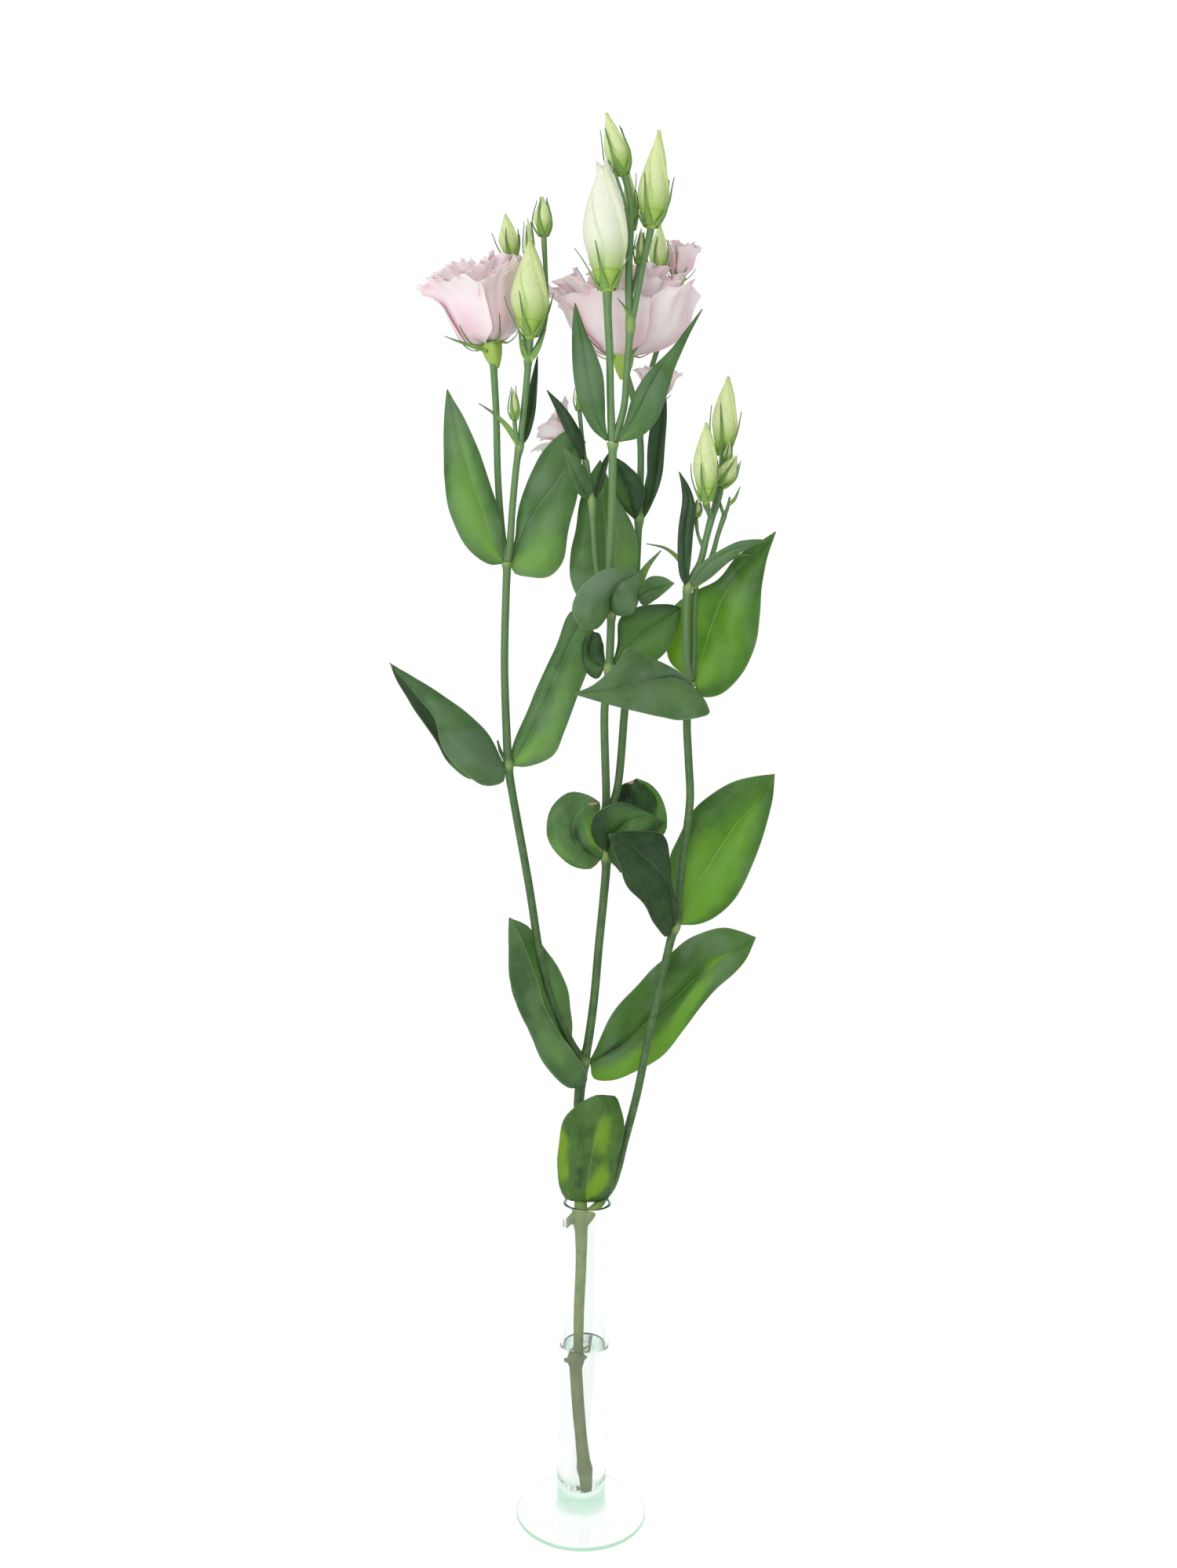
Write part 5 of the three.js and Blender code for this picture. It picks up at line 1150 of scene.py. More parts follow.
@dataclass(frozen=True)
class WaxyLeaf(LivingSkin):
    """A glaucous leaf: blue-grey wax over deep green, yellow-green where light shines through it.

    Its lit places are painted light, a brighter yellow-green on its face and in the light that passes, and
    its folds painted shade, a dark green. Patchy says how unevenly the painted light shines through.
    The rib and two fine veins on each side of it are paler, a pale line on the rim is a painted highlight,
    and the dry places are the colour of straw.
    """

    name: str = "waxy_leaf"
    relief: Cue | Grain | None = Grain(1.6)
    ground: str = "#5f8455"
    shade: str = "#426a3b"
    bloom: str = "#86a086"
    speck: str = "#6f9262"
    # Painted light: the face's colour where light shines through the blade.
    lit_face: str = "#77a355"
    pale: str = "#8fb06c"
    # Painted light: the colour of the light that passes there.
    lit: str = "#b4da58"
    # Painted shade: the dark green in the blade's folds.
    deep: str = "#2c4a23"
    vein: str = "#8fb07c"
    patchy: float = 0.5

    def sums(self) -> Sums:
        """Lists the distances from the rib and the veins, how lit each place is by the painted light and how
        dry it is.
        """
        return {
            Cue.OFF_RIB: (Cue.SIDE, ("ABSOLUTE",)),
            Cue.OFF_INNER_VEIN: (Cue.OFF_RIB, ("SUBTRACT", 0.36), ("ABSOLUTE",)),
            Cue.OFF_OUTER_VEIN: (Cue.OFF_RIB, ("SUBTRACT", 0.68), ("ABSOLUTE",)),
            Cue.LIGHT: (Grain(8, 3.0), ("MULTIPLY_ADD", self.patchy, -self.patchy / 2), ("ADD", Cue.GLOW)),
            Cue.STRAW: (Grain(2.2, 3.0), ("MULTIPLY", Cue.DRY)),
        }

    def prepare(self, painter: Painter) -> None:
        """Adds how brightly each place is lit by the painted light."""
        painter.found[Cue.BRIGHT] = painter.cover(Coat(self.lit, Cue.LIGHT, 0.0, 1.05))

    def face(self) -> Coats:
        """Lists the coats of the light that the leaf throws back."""
        return (
            Coat(self.ground),
            Coat(self.shade, Grain(13), 0.38, 0.64),
            Coat(self.bloom, Grain(26), 0.48, 0.66, 0.5),
            Coat(self.speck, Grain(1.1), 0.3, 0.75, 0.2),
            # Painted light where light shines through, then painted shade in the folds.
            Coat(self.lit_face, Cue.BRIGHT, 0.0, 1.0, 0.75),
            Coat(self.deep, Cue.LIGHT, -0.1, -0.8, 0.85),
            *self._veins(self.vein),
            # A painted highlight: a pale line along the rim.
            Coat("#a9bb92", Cue.OFF_RIB, 0.96, 1.0, 0.5),
            Coat("#8a8453", Cue.ALONG, 0.96, 1.0, 0.5),
            Coat("#d9c096", Cue.STRAW, 0.14, 0.34),
        )

    def passed(self) -> Coats:
        """Lists the coats of the light that passes the leaf."""
        return (
            Coat(self.pale),
            Coat("#86b06c", Grain(9), 0.4, 0.7, 0.4),
            # Painted light where light shines through, then painted shade in the folds.
            Coat(self.lit, Cue.BRIGHT, straight=True),
            Coat(self.deep, Cue.LIGHT, -0.1, -0.8, 0.85),
            *self._veins("#bfd894"),
            Coat("#c79a62", Cue.STRAW, 0.14, 0.34),
        )

    @staticmethod
    def _veins(colour: str) -> Coats:
        """Lays the rib, and the veins that arch from the base to the tip beside it."""
        arches = (Coat(colour, cue, 0.016, 0.003, 0.16) for cue in (Cue.OFF_INNER_VEIN, Cue.OFF_OUTER_VEIN))
        return (Coat(colour, Cue.OFF_RIB, 0.04, 0.008, 0.42), *arches)


@dataclass(frozen=True)
class GrownStem(LivingSkin):
    """A cut stem: smooth and waxy, pale olive low in the vase, greener just under its rim, dark green above
    the rim and lighter green higher up.
    """

    name: str = "grown_stem"
    roughness: float = 0.5
    through: float = 0.12
    relief: Cue | Grain | None = Grain(1.2)
    low: str = "#9db26a"
    rim: str = "#7a9a45"
    middle: str = "#3f5e34"
    high: str = "#678c5a"
    node: str = "#8fa561"

    def prepare(self, painter: Painter) -> None:
        """Adds the height above the table, in metres."""
        place = add_node(painter.tree, "ShaderNodeTexCoord").outputs["Object"]
        painter.found[Cue.HEIGHT] = add_node(painter.tree, "ShaderNodeSeparateXYZ", {0: place}).outputs["Z"]

    def face(self) -> Coats:
        """Lists the coats from the cut end up, then the stem's mottling and its swollen nodes."""
        return (
            Coat(self.low),
            Coat(self.rim, Cue.HEIGHT, 0.14, 0.15),
            Coat(self.middle, Cue.HEIGHT, 0.156, 0.172),
            Coat(self.high, Cue.HEIGHT, 0.3, 0.58),
            Coat("#607c4a", Grain(5), 0.35, 0.7, 0.5),
            Coat("#93ab74", Grain(0.9), 0.55, 0.8, 0.35),
            Coat(self.node, Cue.GLOW, straight=True),
        )

    def passed(self) -> Coats:
        """Gives the colour of the light that passes."""
        return (Coat("#9cc775"),)


@dataclass(frozen=True)
class GreenSepal(LivingSkin):
    """A thread-like sepal: fleshy green at the cup, darker and drier towards its tip."""

    name: str = "green_sepal"
    through: float = 0.25
    cup: str = "#a9c95a"
    base: str = "#7ba352"
    tip: str = "#56784a"

    def face(self) -> Coats:
        """Lists the coats from the cup to the tip."""
        return (
            Coat(self.cup),
            Coat(self.base, Cue.ALONG, 0.03, 0.2),
            Coat(self.tip, Cue.ALONG, 0.3, 0.8),
            Coat("#8fae62", Grain(1.5), 0.4, 0.75, 0.35),
            Coat("#4c4a2c", Cue.ALONG, 0.94, 1.0, 0.7),
        )

    def passed(self) -> Coats:
        """Gives the colour of the light that passes."""
        return (Coat("#a6d27e"),)


@dataclass(frozen=True)
class FurledPetals(LivingSkin):
    """A furled bud: unripe petals, greenish at the calyx and creamy on the turns, darker green in the
    creases: partly their own green, partly painted shade.
    """

    name: str = "furled_petals"
    roughness: float = 0.55
    through: float = 0.42
    relief: Cue | Grain | None = Grain(1.4)
    base: str = "#abcc5c"
    body: str = "#eaf3c2"
    fold: str = "#b7d176"
    tip: str = "#dbe8a4"

    def face(self) -> Coats:
        """Lists the coats from the calyx to the tip, then the creases, partly painted shade, and a green
        flush in the fold colour.
        """
        return (
            Coat(self.base),
            Coat(self.body, Cue.ALONG, 0.02, 0.45),
            Coat(self.tip, Cue.ALONG, 0.8, 1.0, 0.7),
            # Partly the bud's own green, partly painted shade in the creases.
            Coat(self.fold, Cue.GLOW, straight=True),
            Coat(self.fold, Grain(2.4), 0.45, 0.8, 0.35),
        )


@dataclass(frozen=True)
class OpenPetal(LivingSkin):
    """An open petal: velvety cells with no wax, nearly white, pink in folds, greenish at its claw."""

    name: str = "open_petal"
    roughness: float = 0.7
    through: float = 0.42
    sheen: float = 0.25
    relief: Cue | Grain | None = Cue.STREAK
    pale: str = "#fffcfc"
    blush: str = "#fdf1f4"
    deep: str = "#ec9fba"
    claw: str = "#e9efb4"
    breadth: float = 4.0
    streaks: float = 2.6

    def prepare(self, painter: Painter) -> None:
        """Adds the fine streaks that fan out from the claw to the rim.

        Args:
            painter: Lays the petal's coats, and keeps the cues that they follow.
        """
        across = {0: painter.follow(Cue.SIDE), 1: self.breadth}
        across = add_node(painter.tree, "ShaderNodeMath", across, operation="MULTIPLY").outputs[0]
        fan = add_node(painter.tree, "ShaderNodeCombineXYZ", {"X": across, "Y": painter.follow(Cue.ALONG)})
        painter.found[Cue.STREAK] = add_node(painter.tree, "ShaderNodeTexWave", {
            "Vector": fan.outputs[0], "Scale": self.streaks, "Distortion": 2.5, "Detail": 2.0,
        }).outputs["Fac"]

    def face(self) -> Coats:
        """Lists the coats of the petal, then its pink folds and its claw."""
        return (
            Coat(self.pale),
            Coat(self.blush, Grain(16), 0.35, 0.7),
            Coat(self.blush, Cue.STREAK, 0.2, 0.9, 0.3),
            Coat(self.deep, Cue.GLOW, straight=True),
            Coat(self.claw, Cue.ALONG, 0.16, 0.0, 0.8),
        )


@dataclass(frozen=True)
class Vase:
    """The blown vase: a straight tube with a thick rounded bottom on a domed disc foot.

    Its profile is [radius, height]: up the outside, over the rim and, from the point numbered bore,
    down the inside. One of every few samples of the smooth line through it makes a ring. What lies
    nearer to the axis than tube_reach is the tube and its bottom.
    """

    sides: int = 128
    every: int = 5
    bore: int = 16
    outer_edge: float = 32.2
    tube_reach: float = 14.0
    profile: tuple[Pair, ...] = (
        (0, 0), (31.5, 0), (32.6, 0.7), (32.9, 1.45), (32.3, 2.5), (30.9, 2.9), (26, 3.3), (20, 3.8),
        (15.6, 4.3), (13.2, 5.2), (12.6, 7.4), (12.6, 40), (12.14, 148), (12.1, 158.1), (11.7, 158.9),
        (11, 158.9), (10.6, 158.1), (10.64, 148), (11.1, 40), (11.1, 20), (9.9, 15.6), (7.1, 13.2),
        (3.4, 12.6), (0.5, 12.5), (0, 12.5),
    )

    def inner_radius(self, height: Points) -> Points:
        """Gives the bore's radius at heights, from its floor to the rim."""
        inner = sorted((up, radius) for radius, up in self.profile[self.bore :])
        return np.interp(height, *np.array(inner).T)

    def build(self, glass: Material) -> Object:
        """Turns the profile round and dresses it.

        Args:
            glass: The vase's material.

        Returns:
            The vase.
        """
        line = SmoothLine(np.array(self.profile[1:-1], float)).samples[:: self.every]
        skin = Skin()
        skin.add_tube(rings_around(line, self.sides), glow=self._greened(*line.T)[:, None])
        return dress(skin.piece("vase_glass", glass), "vase", "clear_glass")

    def _greened(self, radius: Points, height: Points) -> Points:
        """Says where the glass looks greenest: on the foot's edge, then in the bottom and on the rim.

        Args:
            radius: Distances from the axis.
            height: Heights above the table.

        Returns:
            How green each place is, from 0 to 1.
        """
        edge = rise(radius, self.outer_edge, self.outer_edge + 0.5)
        bottom = 0.3 * rise(height, 5, 8) * (1 - rise(height, 12, 17)) * (radius < self.tube_reach)
        rim = 0.06 * rise(height, 157.6, 158.6)
        tube = 0.015 * (radius < self.tube_reach)
        return np.clip(edge + bottom + rim + tube, 0, 1)


@dataclass(frozen=True)
class Water:
    """The water in the tube, drawn up a little where it meets the glass and the stem.

    It wets the glass, and lies a little under the stem's skin, down to an end in the stem.
    """

    level: float = 87.0
    climb: float = 0.22
    stem_climb: float = 0.12
    wetting: float = 0.03
    under: float = -0.15
    end: float = 15.5
    sides: int = 96
    floor: tuple[Pair, ...] = ((0.6, 12.5), (4, 12.7), (7.1, 13.2), (8.8, 14.3), (9.9, 15.6), (10.7, 17.6))
    surface: tuple[float, ...] = (0.02, 0.06, 0.12, 0.22, 0.36, 0.52, 0.68, 0.8, 0.9, 0.96, 1)

    def build(self, vase: Vase, stalk: StemTube, water: Material) -> Object:
        """Fills the tube round the stem.

        Args:
            vase: The vase that holds it.
            stalk: The stem that stands in it.
            water: Its material.

        Returns:
            The water.
        """
        wall = np.concatenate([[20, 30], np.linspace(40, self.level + self.climb, 24)])
        outer = np.array([*self.floor, *zip(vase.inner_radius(wall) + self.wetting, wall)])
        hole = np.linspace(self.level - 1, self.end, 60)
        skin = Skin()
        skin.add_tube(np.concatenate([
            rings_around(outer, self.sides), self._surface(stalk, outer[-1, 0]),
            np.stack([stalk.ring_at_height(height, self.sides, self.under) for height in hole]),
        ]))
        return dress(skin.piece("water_body", water), "water", "water")

    def _surface(self, stalk: StemTube, edge: float) -> Points:
        """Lays rings over the surface, from the glass to just inside the stem.

        Args:
            stalk: The stem.
            edge: The surface's radius at the glass.

        Returns:
            The rings, in metres.
        """
        hole = stalk.ring_at_height(self.level, self.sides, self.under)
        rim = rings_around(np.array([[edge, self.level]]), self.sides)[0]
        share = np.array(self.surface)[:, None]
        grid = rim + (hole - rim) * share[..., None]
        gap = np.linalg.norm((hole - rim)[..., :2], axis=-1) / MM
        lift = self.climb * np.exp(-share * gap / 0.8) + self.stem_climb * np.exp(-(1 - share) * gap / 0.6)
        grid[..., 2] = (self.level + lift) * MM
        return grid


@dataclass
class StemTube:
    """One stalk: rings along a smooth line, faintly four-ridged, swollen where its rows say.

    Its rows are [across, up, depth, radius].
    """

    rows: Rows
    sides: int
    ridges: int = 4
    ridge: float = 0.025
    step: float = 1.4

    def __post_init__(self) -> None:
        """Lays the stalk's line, and the steps of its rings along it."""
        typed = np.asarray(self.rows, float)
        self.line = SmoothLine(VIEW.place(typed[:, :3]))
        self.radii = typed[:, 3]
        self.share = np.linspace(0, 1, max(4, int(self.line.length / self.step)))

    def ring(self, share: Points, sides: int, extra: float = 0.0) -> Points:
        """Lays rings round the line.

        Args:
            share: Where they lie, as shares of the length.
            sides: The corners of each ring.
            extra: What to add to their radius.

        Returns:
            The rings, in metres in the part's frame.
        """
        along = self.line.along(share)
        first = unit(-np.cross(np.cross((1.0, 0.0, 0.0), along), along))
        second = np.cross(along, first)
        turn = turns(sides)[:, None]
        ridge = 1 + self.ridge * np.cos(self.ridges * turn)
        radius = (self.line.blend_rows(share, self.radii) + extra)[:, None, None]
        out = first[:, None] * (np.cos(turn) * ridge) + second[:, None] * (np.sin(turn) * ridge)
        return VIEW.settle(self.line.at(share)[:, None] + out * radius)

    def ring_at_height(self, height: float, sides: int, extra: float) -> Points:
        """Lays the ring that is nearest to a height.

        Args:
            height: The height in the upright frame.
            sides: The ring's corners.
            extra: What to add to its radius.

        Returns:
            The ring, in metres in the part's frame.
        """
        share = float(np.interp(height, self.line.samples[:, 2], self.line.share))
        return self.ring(np.array([share]), sides, extra)[0]

    def add_to(self, skin: Skin) -> None:
        """Adds the stalk to the stem's skin, and notes where it swells over the stalk round it."""
        here = self.line.blend_rows(self.share, self.radii)
        swelling = np.clip((here / np.median(self.radii) - 1.12) * 3.2, 0, 0.8)
        skin.add_tube(self.ring(self.share, self.sides), glow=swelling[:, None])


@dataclass
class LeafBlade:
    """A thin waxy blade: its midrib sunk, its halves arched, its edge lightly waved and thinnest.

    The seed picks the waves of its edge.
    """

    leaf: Leaf
    seed: int
    thickness: float = 0.46
    base_half_width: float = 0.8
    tip_half_width: float = 0.25
    arch: float = 0.16
    # The depth of the sunk rib, and the share of the half width that it takes.
    rib_depth: float = 0.3
    rib_share: float = 0.07
    # How much more a leaf with deep waves is puckered.
    crumple: float = 2.4
    # The distance between rows, the fewest rows, and the shares of the half width at its columns.
    step: float = 2.2
    fewest: int = 24
    columns: tuple[float, ...] = (0, 0.04, 0.12, 0.25, 0.4, 0.55, 0.7, 0.82, 0.92, 0.985, 1)

    def __post_init__(self) -> None:
        """Measures the blade."""
        leaf = self.leaf
        rib = VIEW.place(leaf.rib)
        self.line = SmoothLine(rib)
        self.edges = [self._edge(rib, leaf.left, -1), self._edge(rib, leaf.right, 1)]
        self.phase = np.random.default_rng(self.seed).uniform(0, FULL_TURN, 4)
        self.t = np.linspace(0, 1, max(self.fewest, int(self.line.length / self.step)))[:, None]
        self.side = mirrored(self.columns)

    def _edge(self, rib: Points, run: Run, sign: int) -> SmoothLine:
        """Runs an edge from beside the rib's base to beside its tip.

        Args:
            rib: The rib's points.
            run: The edge's own measured points.
            sign: On which side of the rib it lies.

        Returns:
            The edge's line.
        """
        across = level_across(self.line.along(np.array([0.0, 1.0]))) * sign
        start = rib[0] + across[0] * self.base_half_width
        end = rib[-1] + across[1] * self.tip_half_width
        return SmoothLine(np.vstack([start, VIEW.place(run), end]))

    def grid(self) -> Points:
        """Lays out the blade.

        Returns:
            Its middle, in metres in the part's frame.
        """
        t, side = self.t, self.side
        share, sign = np.abs(side), np.sign(side)
        middle = self.line.at(t[:, 0])[:, None]
        along = self.line.along(t[:, 0])[:, None]
        left, right = (edge.at(t[:, 0])[:, None] for edge in self.edges)
        reach = np.where(sign[:, None] < 0, left, right) - middle
        normal = unit(np.cross(reach, along) * np.where(sign < 0, -1, 1)[:, None])
        lift = self._relief(np.linalg.norm(reach, axis=-1), share, sign)
        return VIEW.settle(middle + reach * share[:, None] + normal * lift[..., None])

    def _relief(self, width: Points, share: Points, sign: Points) -> Points:
        """Arches, waves and puckers the blade.

        Args:
            width: The width of each half along it.
            share: The shares of the half width.
            sign: The side that each lies on.

        Returns:
            How far each place lies off the flat blade, in millimetres.
        """
        t, phase = self.t, self.phase
        full = np.sin(math.pi * t) ** 0.5
        arch = self.arch * width * 4 * share * (1 - share) * full
        waves = self.leaf.wave * share**2 * np.sin(9 * t + 2.2 * sign) * np.sin(math.pi * t)
        fine = np.sin(21 * t + phase[0] + 1.9 * sign) + 0.6 * np.sin(37 * t + phase[1] + 2.7 * sign)
        fine = 0.024 * width * share**3 * full * fine
        pucker = 0.03 * share * np.sin(13 * t + 5 * share + phase[2] + 1.4 * sign)
        pucker = width * full * (pucker + 0.012 * np.sin(27 * t + 9 * self.side + phase[0]))
        pucker = pucker * max(1.0, self.crumple * (self.leaf.wave - 1))
        rib = self.rib_depth * np.exp(-((share / self.rib_share) ** 2)) * (1 - 0.6 * t)
        return arch + waves + fine + pucker - rib

    def _glow(self) -> Points:
        """Says where painted light shines through the blade, in patches and more towards its base, and where
        painted shade lies, below 0.
        """
        t = self.t
        patch = np.clip(np.sin(4.2 * t + self.phase[3]) * np.cos(1.3 * self.side + self.phase[2]), 0, 1)
        return 0.16 * patch * (1 - rise(t, 0.5, 1)) + 0.1 * (1 - t) + self._spots(self.leaf.lit)

    def _spots(self, spots: Rows) -> Points:
        """Adds up soft round spots on the blade.

        Args:
            spots: Their rows of [share of length, side, radius, strength].

        Returns:
            Their strength at each place.
        """
        total = 0.0 * (self.t + self.side)
        for place, across, radius, strength in spots:
            reach = ((self.t - place) / radius) ** 2 + ((self.side - across) / (2 * radius)) ** 2
            total = total + strength * np.exp(-reach)
        return total

    def build(self, waxes: dict[Tint, Material]) -> Object:
        """Makes the blade and dresses it.

        Args:
            waxes: The leaves' materials.

        Returns:
            The leaf.
        """
        t, side, name = self.t, self.side, self.leaf.name
        ribbed = 0.9 * np.exp(-((side / self.rib_share) ** 2)) * (1 - 0.75 * t)
        thick = self.thickness * (1 - 0.45 * side**2 + ribbed)
        # glow is painted light where light shines through the blade, and painted shade where it is below 0.
        glow, dry = np.clip(self._glow(), -1, 1), np.clip(self._spots(self.leaf.dry), 0, 1)
        skin = Skin()
        skin.add_blade(self.grid(), thick, along=t, side=side, glow=glow, dry=dry)
        return dress(skin.piece(name + "_blade", waxes[self.leaf.tint]), name, self.leaf.tint.value[0])


@dataclass(frozen=True)
class Calyx:
    """The green cup that holds a bud or bloom and its thin sepals, on the stem's second finish."""

    axis: Axis
    sides: int = 40
    sepals: int = 5
    # The sepals' finish takes the cup's green near the start of their length.
    cup_share: float = 0.05
    base_share: float = 0.12

    def add_cup(self, skin: Skin, radius: Points, height: Points, ribs: Points) -> None:
        """Adds the cup.

        Args:
            skin: The stem's skin.
            radius: The radius of each of its rings, from the stalk up.
            height: Their heights.
            ribs: How deep the five ribs are on each ring.
        """
        turn = turns(self.sides)
        radius = radius[:, None] * (1 + ribs * np.cos(self.sepals * turn))
        skin.add_tube(self.axis.around(radius, turn, height[:, None]), 1, along=self.cup_share)

    def add_sepal(
        self, skin: Skin, angle: Points, inner: Points, width: Points, height: Points, thick: Points,
        lift: float = 0.0, flatten: float = 1.0,
    ) -> None:
        """Adds one sepal. Each value but the last two has a row for each step along it.

        Args:
            skin: The stem's skin.
            angle: Where it stands round the axis.
            inner: Its distance from the axis.
            width: Half of its width.
            height: Its height.
            thick: Its thickness.
            lift: How far its middle stands out at the base.
            flatten: How far the flower is narrowed from front to back.
        """
        t = np.linspace(0, 1, len(inner))[:, None]
        side = mirrored((0, 0.5, 1))
        turn = angle + side * width / np.maximum(inner, 1)
        grid = self.axis.around(inner + lift * (1 - side**2) * (1 - t), turn, height, flatten)
        skin.add_blade(grid, thick, 1, along=self.base_share + (1 - self.base_share) * t, side=side)


@dataclass
class BudBody:
    """A furled bud: five petals wound round each other, each with its free edge over the next."""

    bud: Bud
    # The radius of a small bud, and the corners and rings of a large and of a small one.
    small: float = 4.7
    fine: Pair = (70, 46)
    plain: Pair = (40, 26)
    # The depth of the folds as a share of the radius, and how far the petals wind round: a fold's
    # width for each 1. A free edge climbs over its share of that width.
    fold: float = 0.15
    winding: float = 1.35
    edge: float = 0.12
    tip_power: float = 0.85
    collar: float = 0.4

    def __post_init__(self) -> None:
        """Sets the bud's frame and the size of its calyx cup."""
        self.axis = Axis.between(self.bud.base, self.bud.tip)
        self.seat = self.bud.radius * float(self.swell(np.array(0.0)))
        self.depth = min(4.2, 0.6 * self.seat + 1.6)

    def swell(self, t: Points) -> Points:
        """Gives the bud's outline.

        Args:
            t: Shares of its length.

        Returns:
            Its radius there, as a share of its largest.
        """
        widest = self.bud.widest
        low = 0.34 + 0.66 * np.sin(math.pi / 2 * np.minimum(t / widest, 1))
        high = (1 - np.clip((t - widest) / (1 - widest), 0, 1) ** self.bud.blunt) ** self.tip_power
        return np.where(t < widest, low, np.maximum(high, self.bud.top))

    def build(self, petals: Material) -> Object:
        """Winds the petals and dresses them.

        Args:
            petals: The bud's material.

        Returns:
            The bud.
        """
        bud = self.bud
        sides, rings = self.fine if bud.radius > self.small else self.plain
        t = (np.linspace(0, 1, rings) ** 0.9)[:, None]
        turn = turns(sides)
        wound = (5 * (turn / FULL_TURN) + self.winding * t) % 1
        step = np.where(wound < self.edge, wound / self.edge, 1 - (wound - self.edge) / (1 - self.edge))
        fold = self.fold * (step - 0.55) * (0.35 + rise(t, 0.05, 0.5)) * (1 - 0.3 * rise(t, 0.85, 1))
        slack = 0.012 * np.sin(3 * turn + 7 * t + bud.radius)
        radius = bud.radius * self.swell(t) * (1 + fold + slack)
        height = self.axis.length * t + bud.radius * (0.2 + bud.top) * rise(t, 0.84, 1) * (step - 0.5)
        # A darker green line along each crease where a free edge tucks over the next petal: partly the bud's
        # own green, partly painted shade in the crease.
        crease = 0.85 * np.exp(-(((wound + 0.04) % 1) / 0.11) ** 2) * rise(t, 0.04, 0.3)
        skin = Skin()
        skin.add_tube(self.axis.around(radius, turn, height), along=t, side=wound, glow=crease)
        slot = "bud_white" if bud.name == "bud_white" else "bud_green"
        return dress(skin.piece(bud.name + "_petals", petals), bud.name, slot)

    def add_calyx(self, skin: Skin, rng: np.random.Generator) -> None:
        """Adds the cup under the bud and its thin sepals, which hug it and splay at their tips.

        Args:
            skin: The stem's skin.
            rng: Gives each sepal its own curl.
        """
        bud, calyx = self.bud, Calyx(self.axis)
        calyx.add_cup(skin, *self._collar(), np.array(0.03))
        t = np.linspace(0, 1, 26)[:, None]
        for sepal in range(calyx.sepals):
            angle = FULL_TURN * (sepal + 0.5) / calyx.sepals + rng.uniform(-0.12, 0.12)
            reach = bud.reach * rng.uniform(0.88, 1.05)
            height = self.axis.length * reach * t - 0.4 * self.depth * (1 - t)
            hug = bud.radius * self.swell(np.clip(reach * t, 0, 1)) * 1.05
            inner = np.maximum(hug, self.seat) + self.collar + 0.25
            inner = inner + bud.splay * bud.radius * t**3 * rng.uniform(0.7, 1.1)
            broad = 0.42 * (self.seat + self.collar) * (1 - rise(t, 0, 0.42))
            width = broad + min(0.1 * bud.radius + 0.2, 0.65) * (1.02 - t) ** 0.6 + 0.1
            curl = 0.25 * t**2 * rng.uniform(-1, 1)
            calyx.add_sepal(skin, angle + curl, inner, width, height, 0.62 - 0.28 * t, lift=0.35)

    def _collar(self) -> tuple[Points, Points]:
        """Shapes the cup: it grows out of the stalk and closes on the bud at an eighth of its length.

        Returns:
            The radius and the height of each of its rings.
        """
        share = np.array([0.0, 0.04, 0.08, 0.12])
        outer = self.bud.radius * self.swell(share) * 1.04 + self.collar
        below = outer[0] * np.array([0.42, 0.6, 0.84])
        radius = np.array([*below, *outer, outer[3] - self.collar, 0.7 * outer[1]])
        sunk = self.depth * np.array([-1, -0.7, -0.3])
        return radius, np.array([*sunk, *(self.axis.length * np.array([*share, 0.125, 0.06]))])


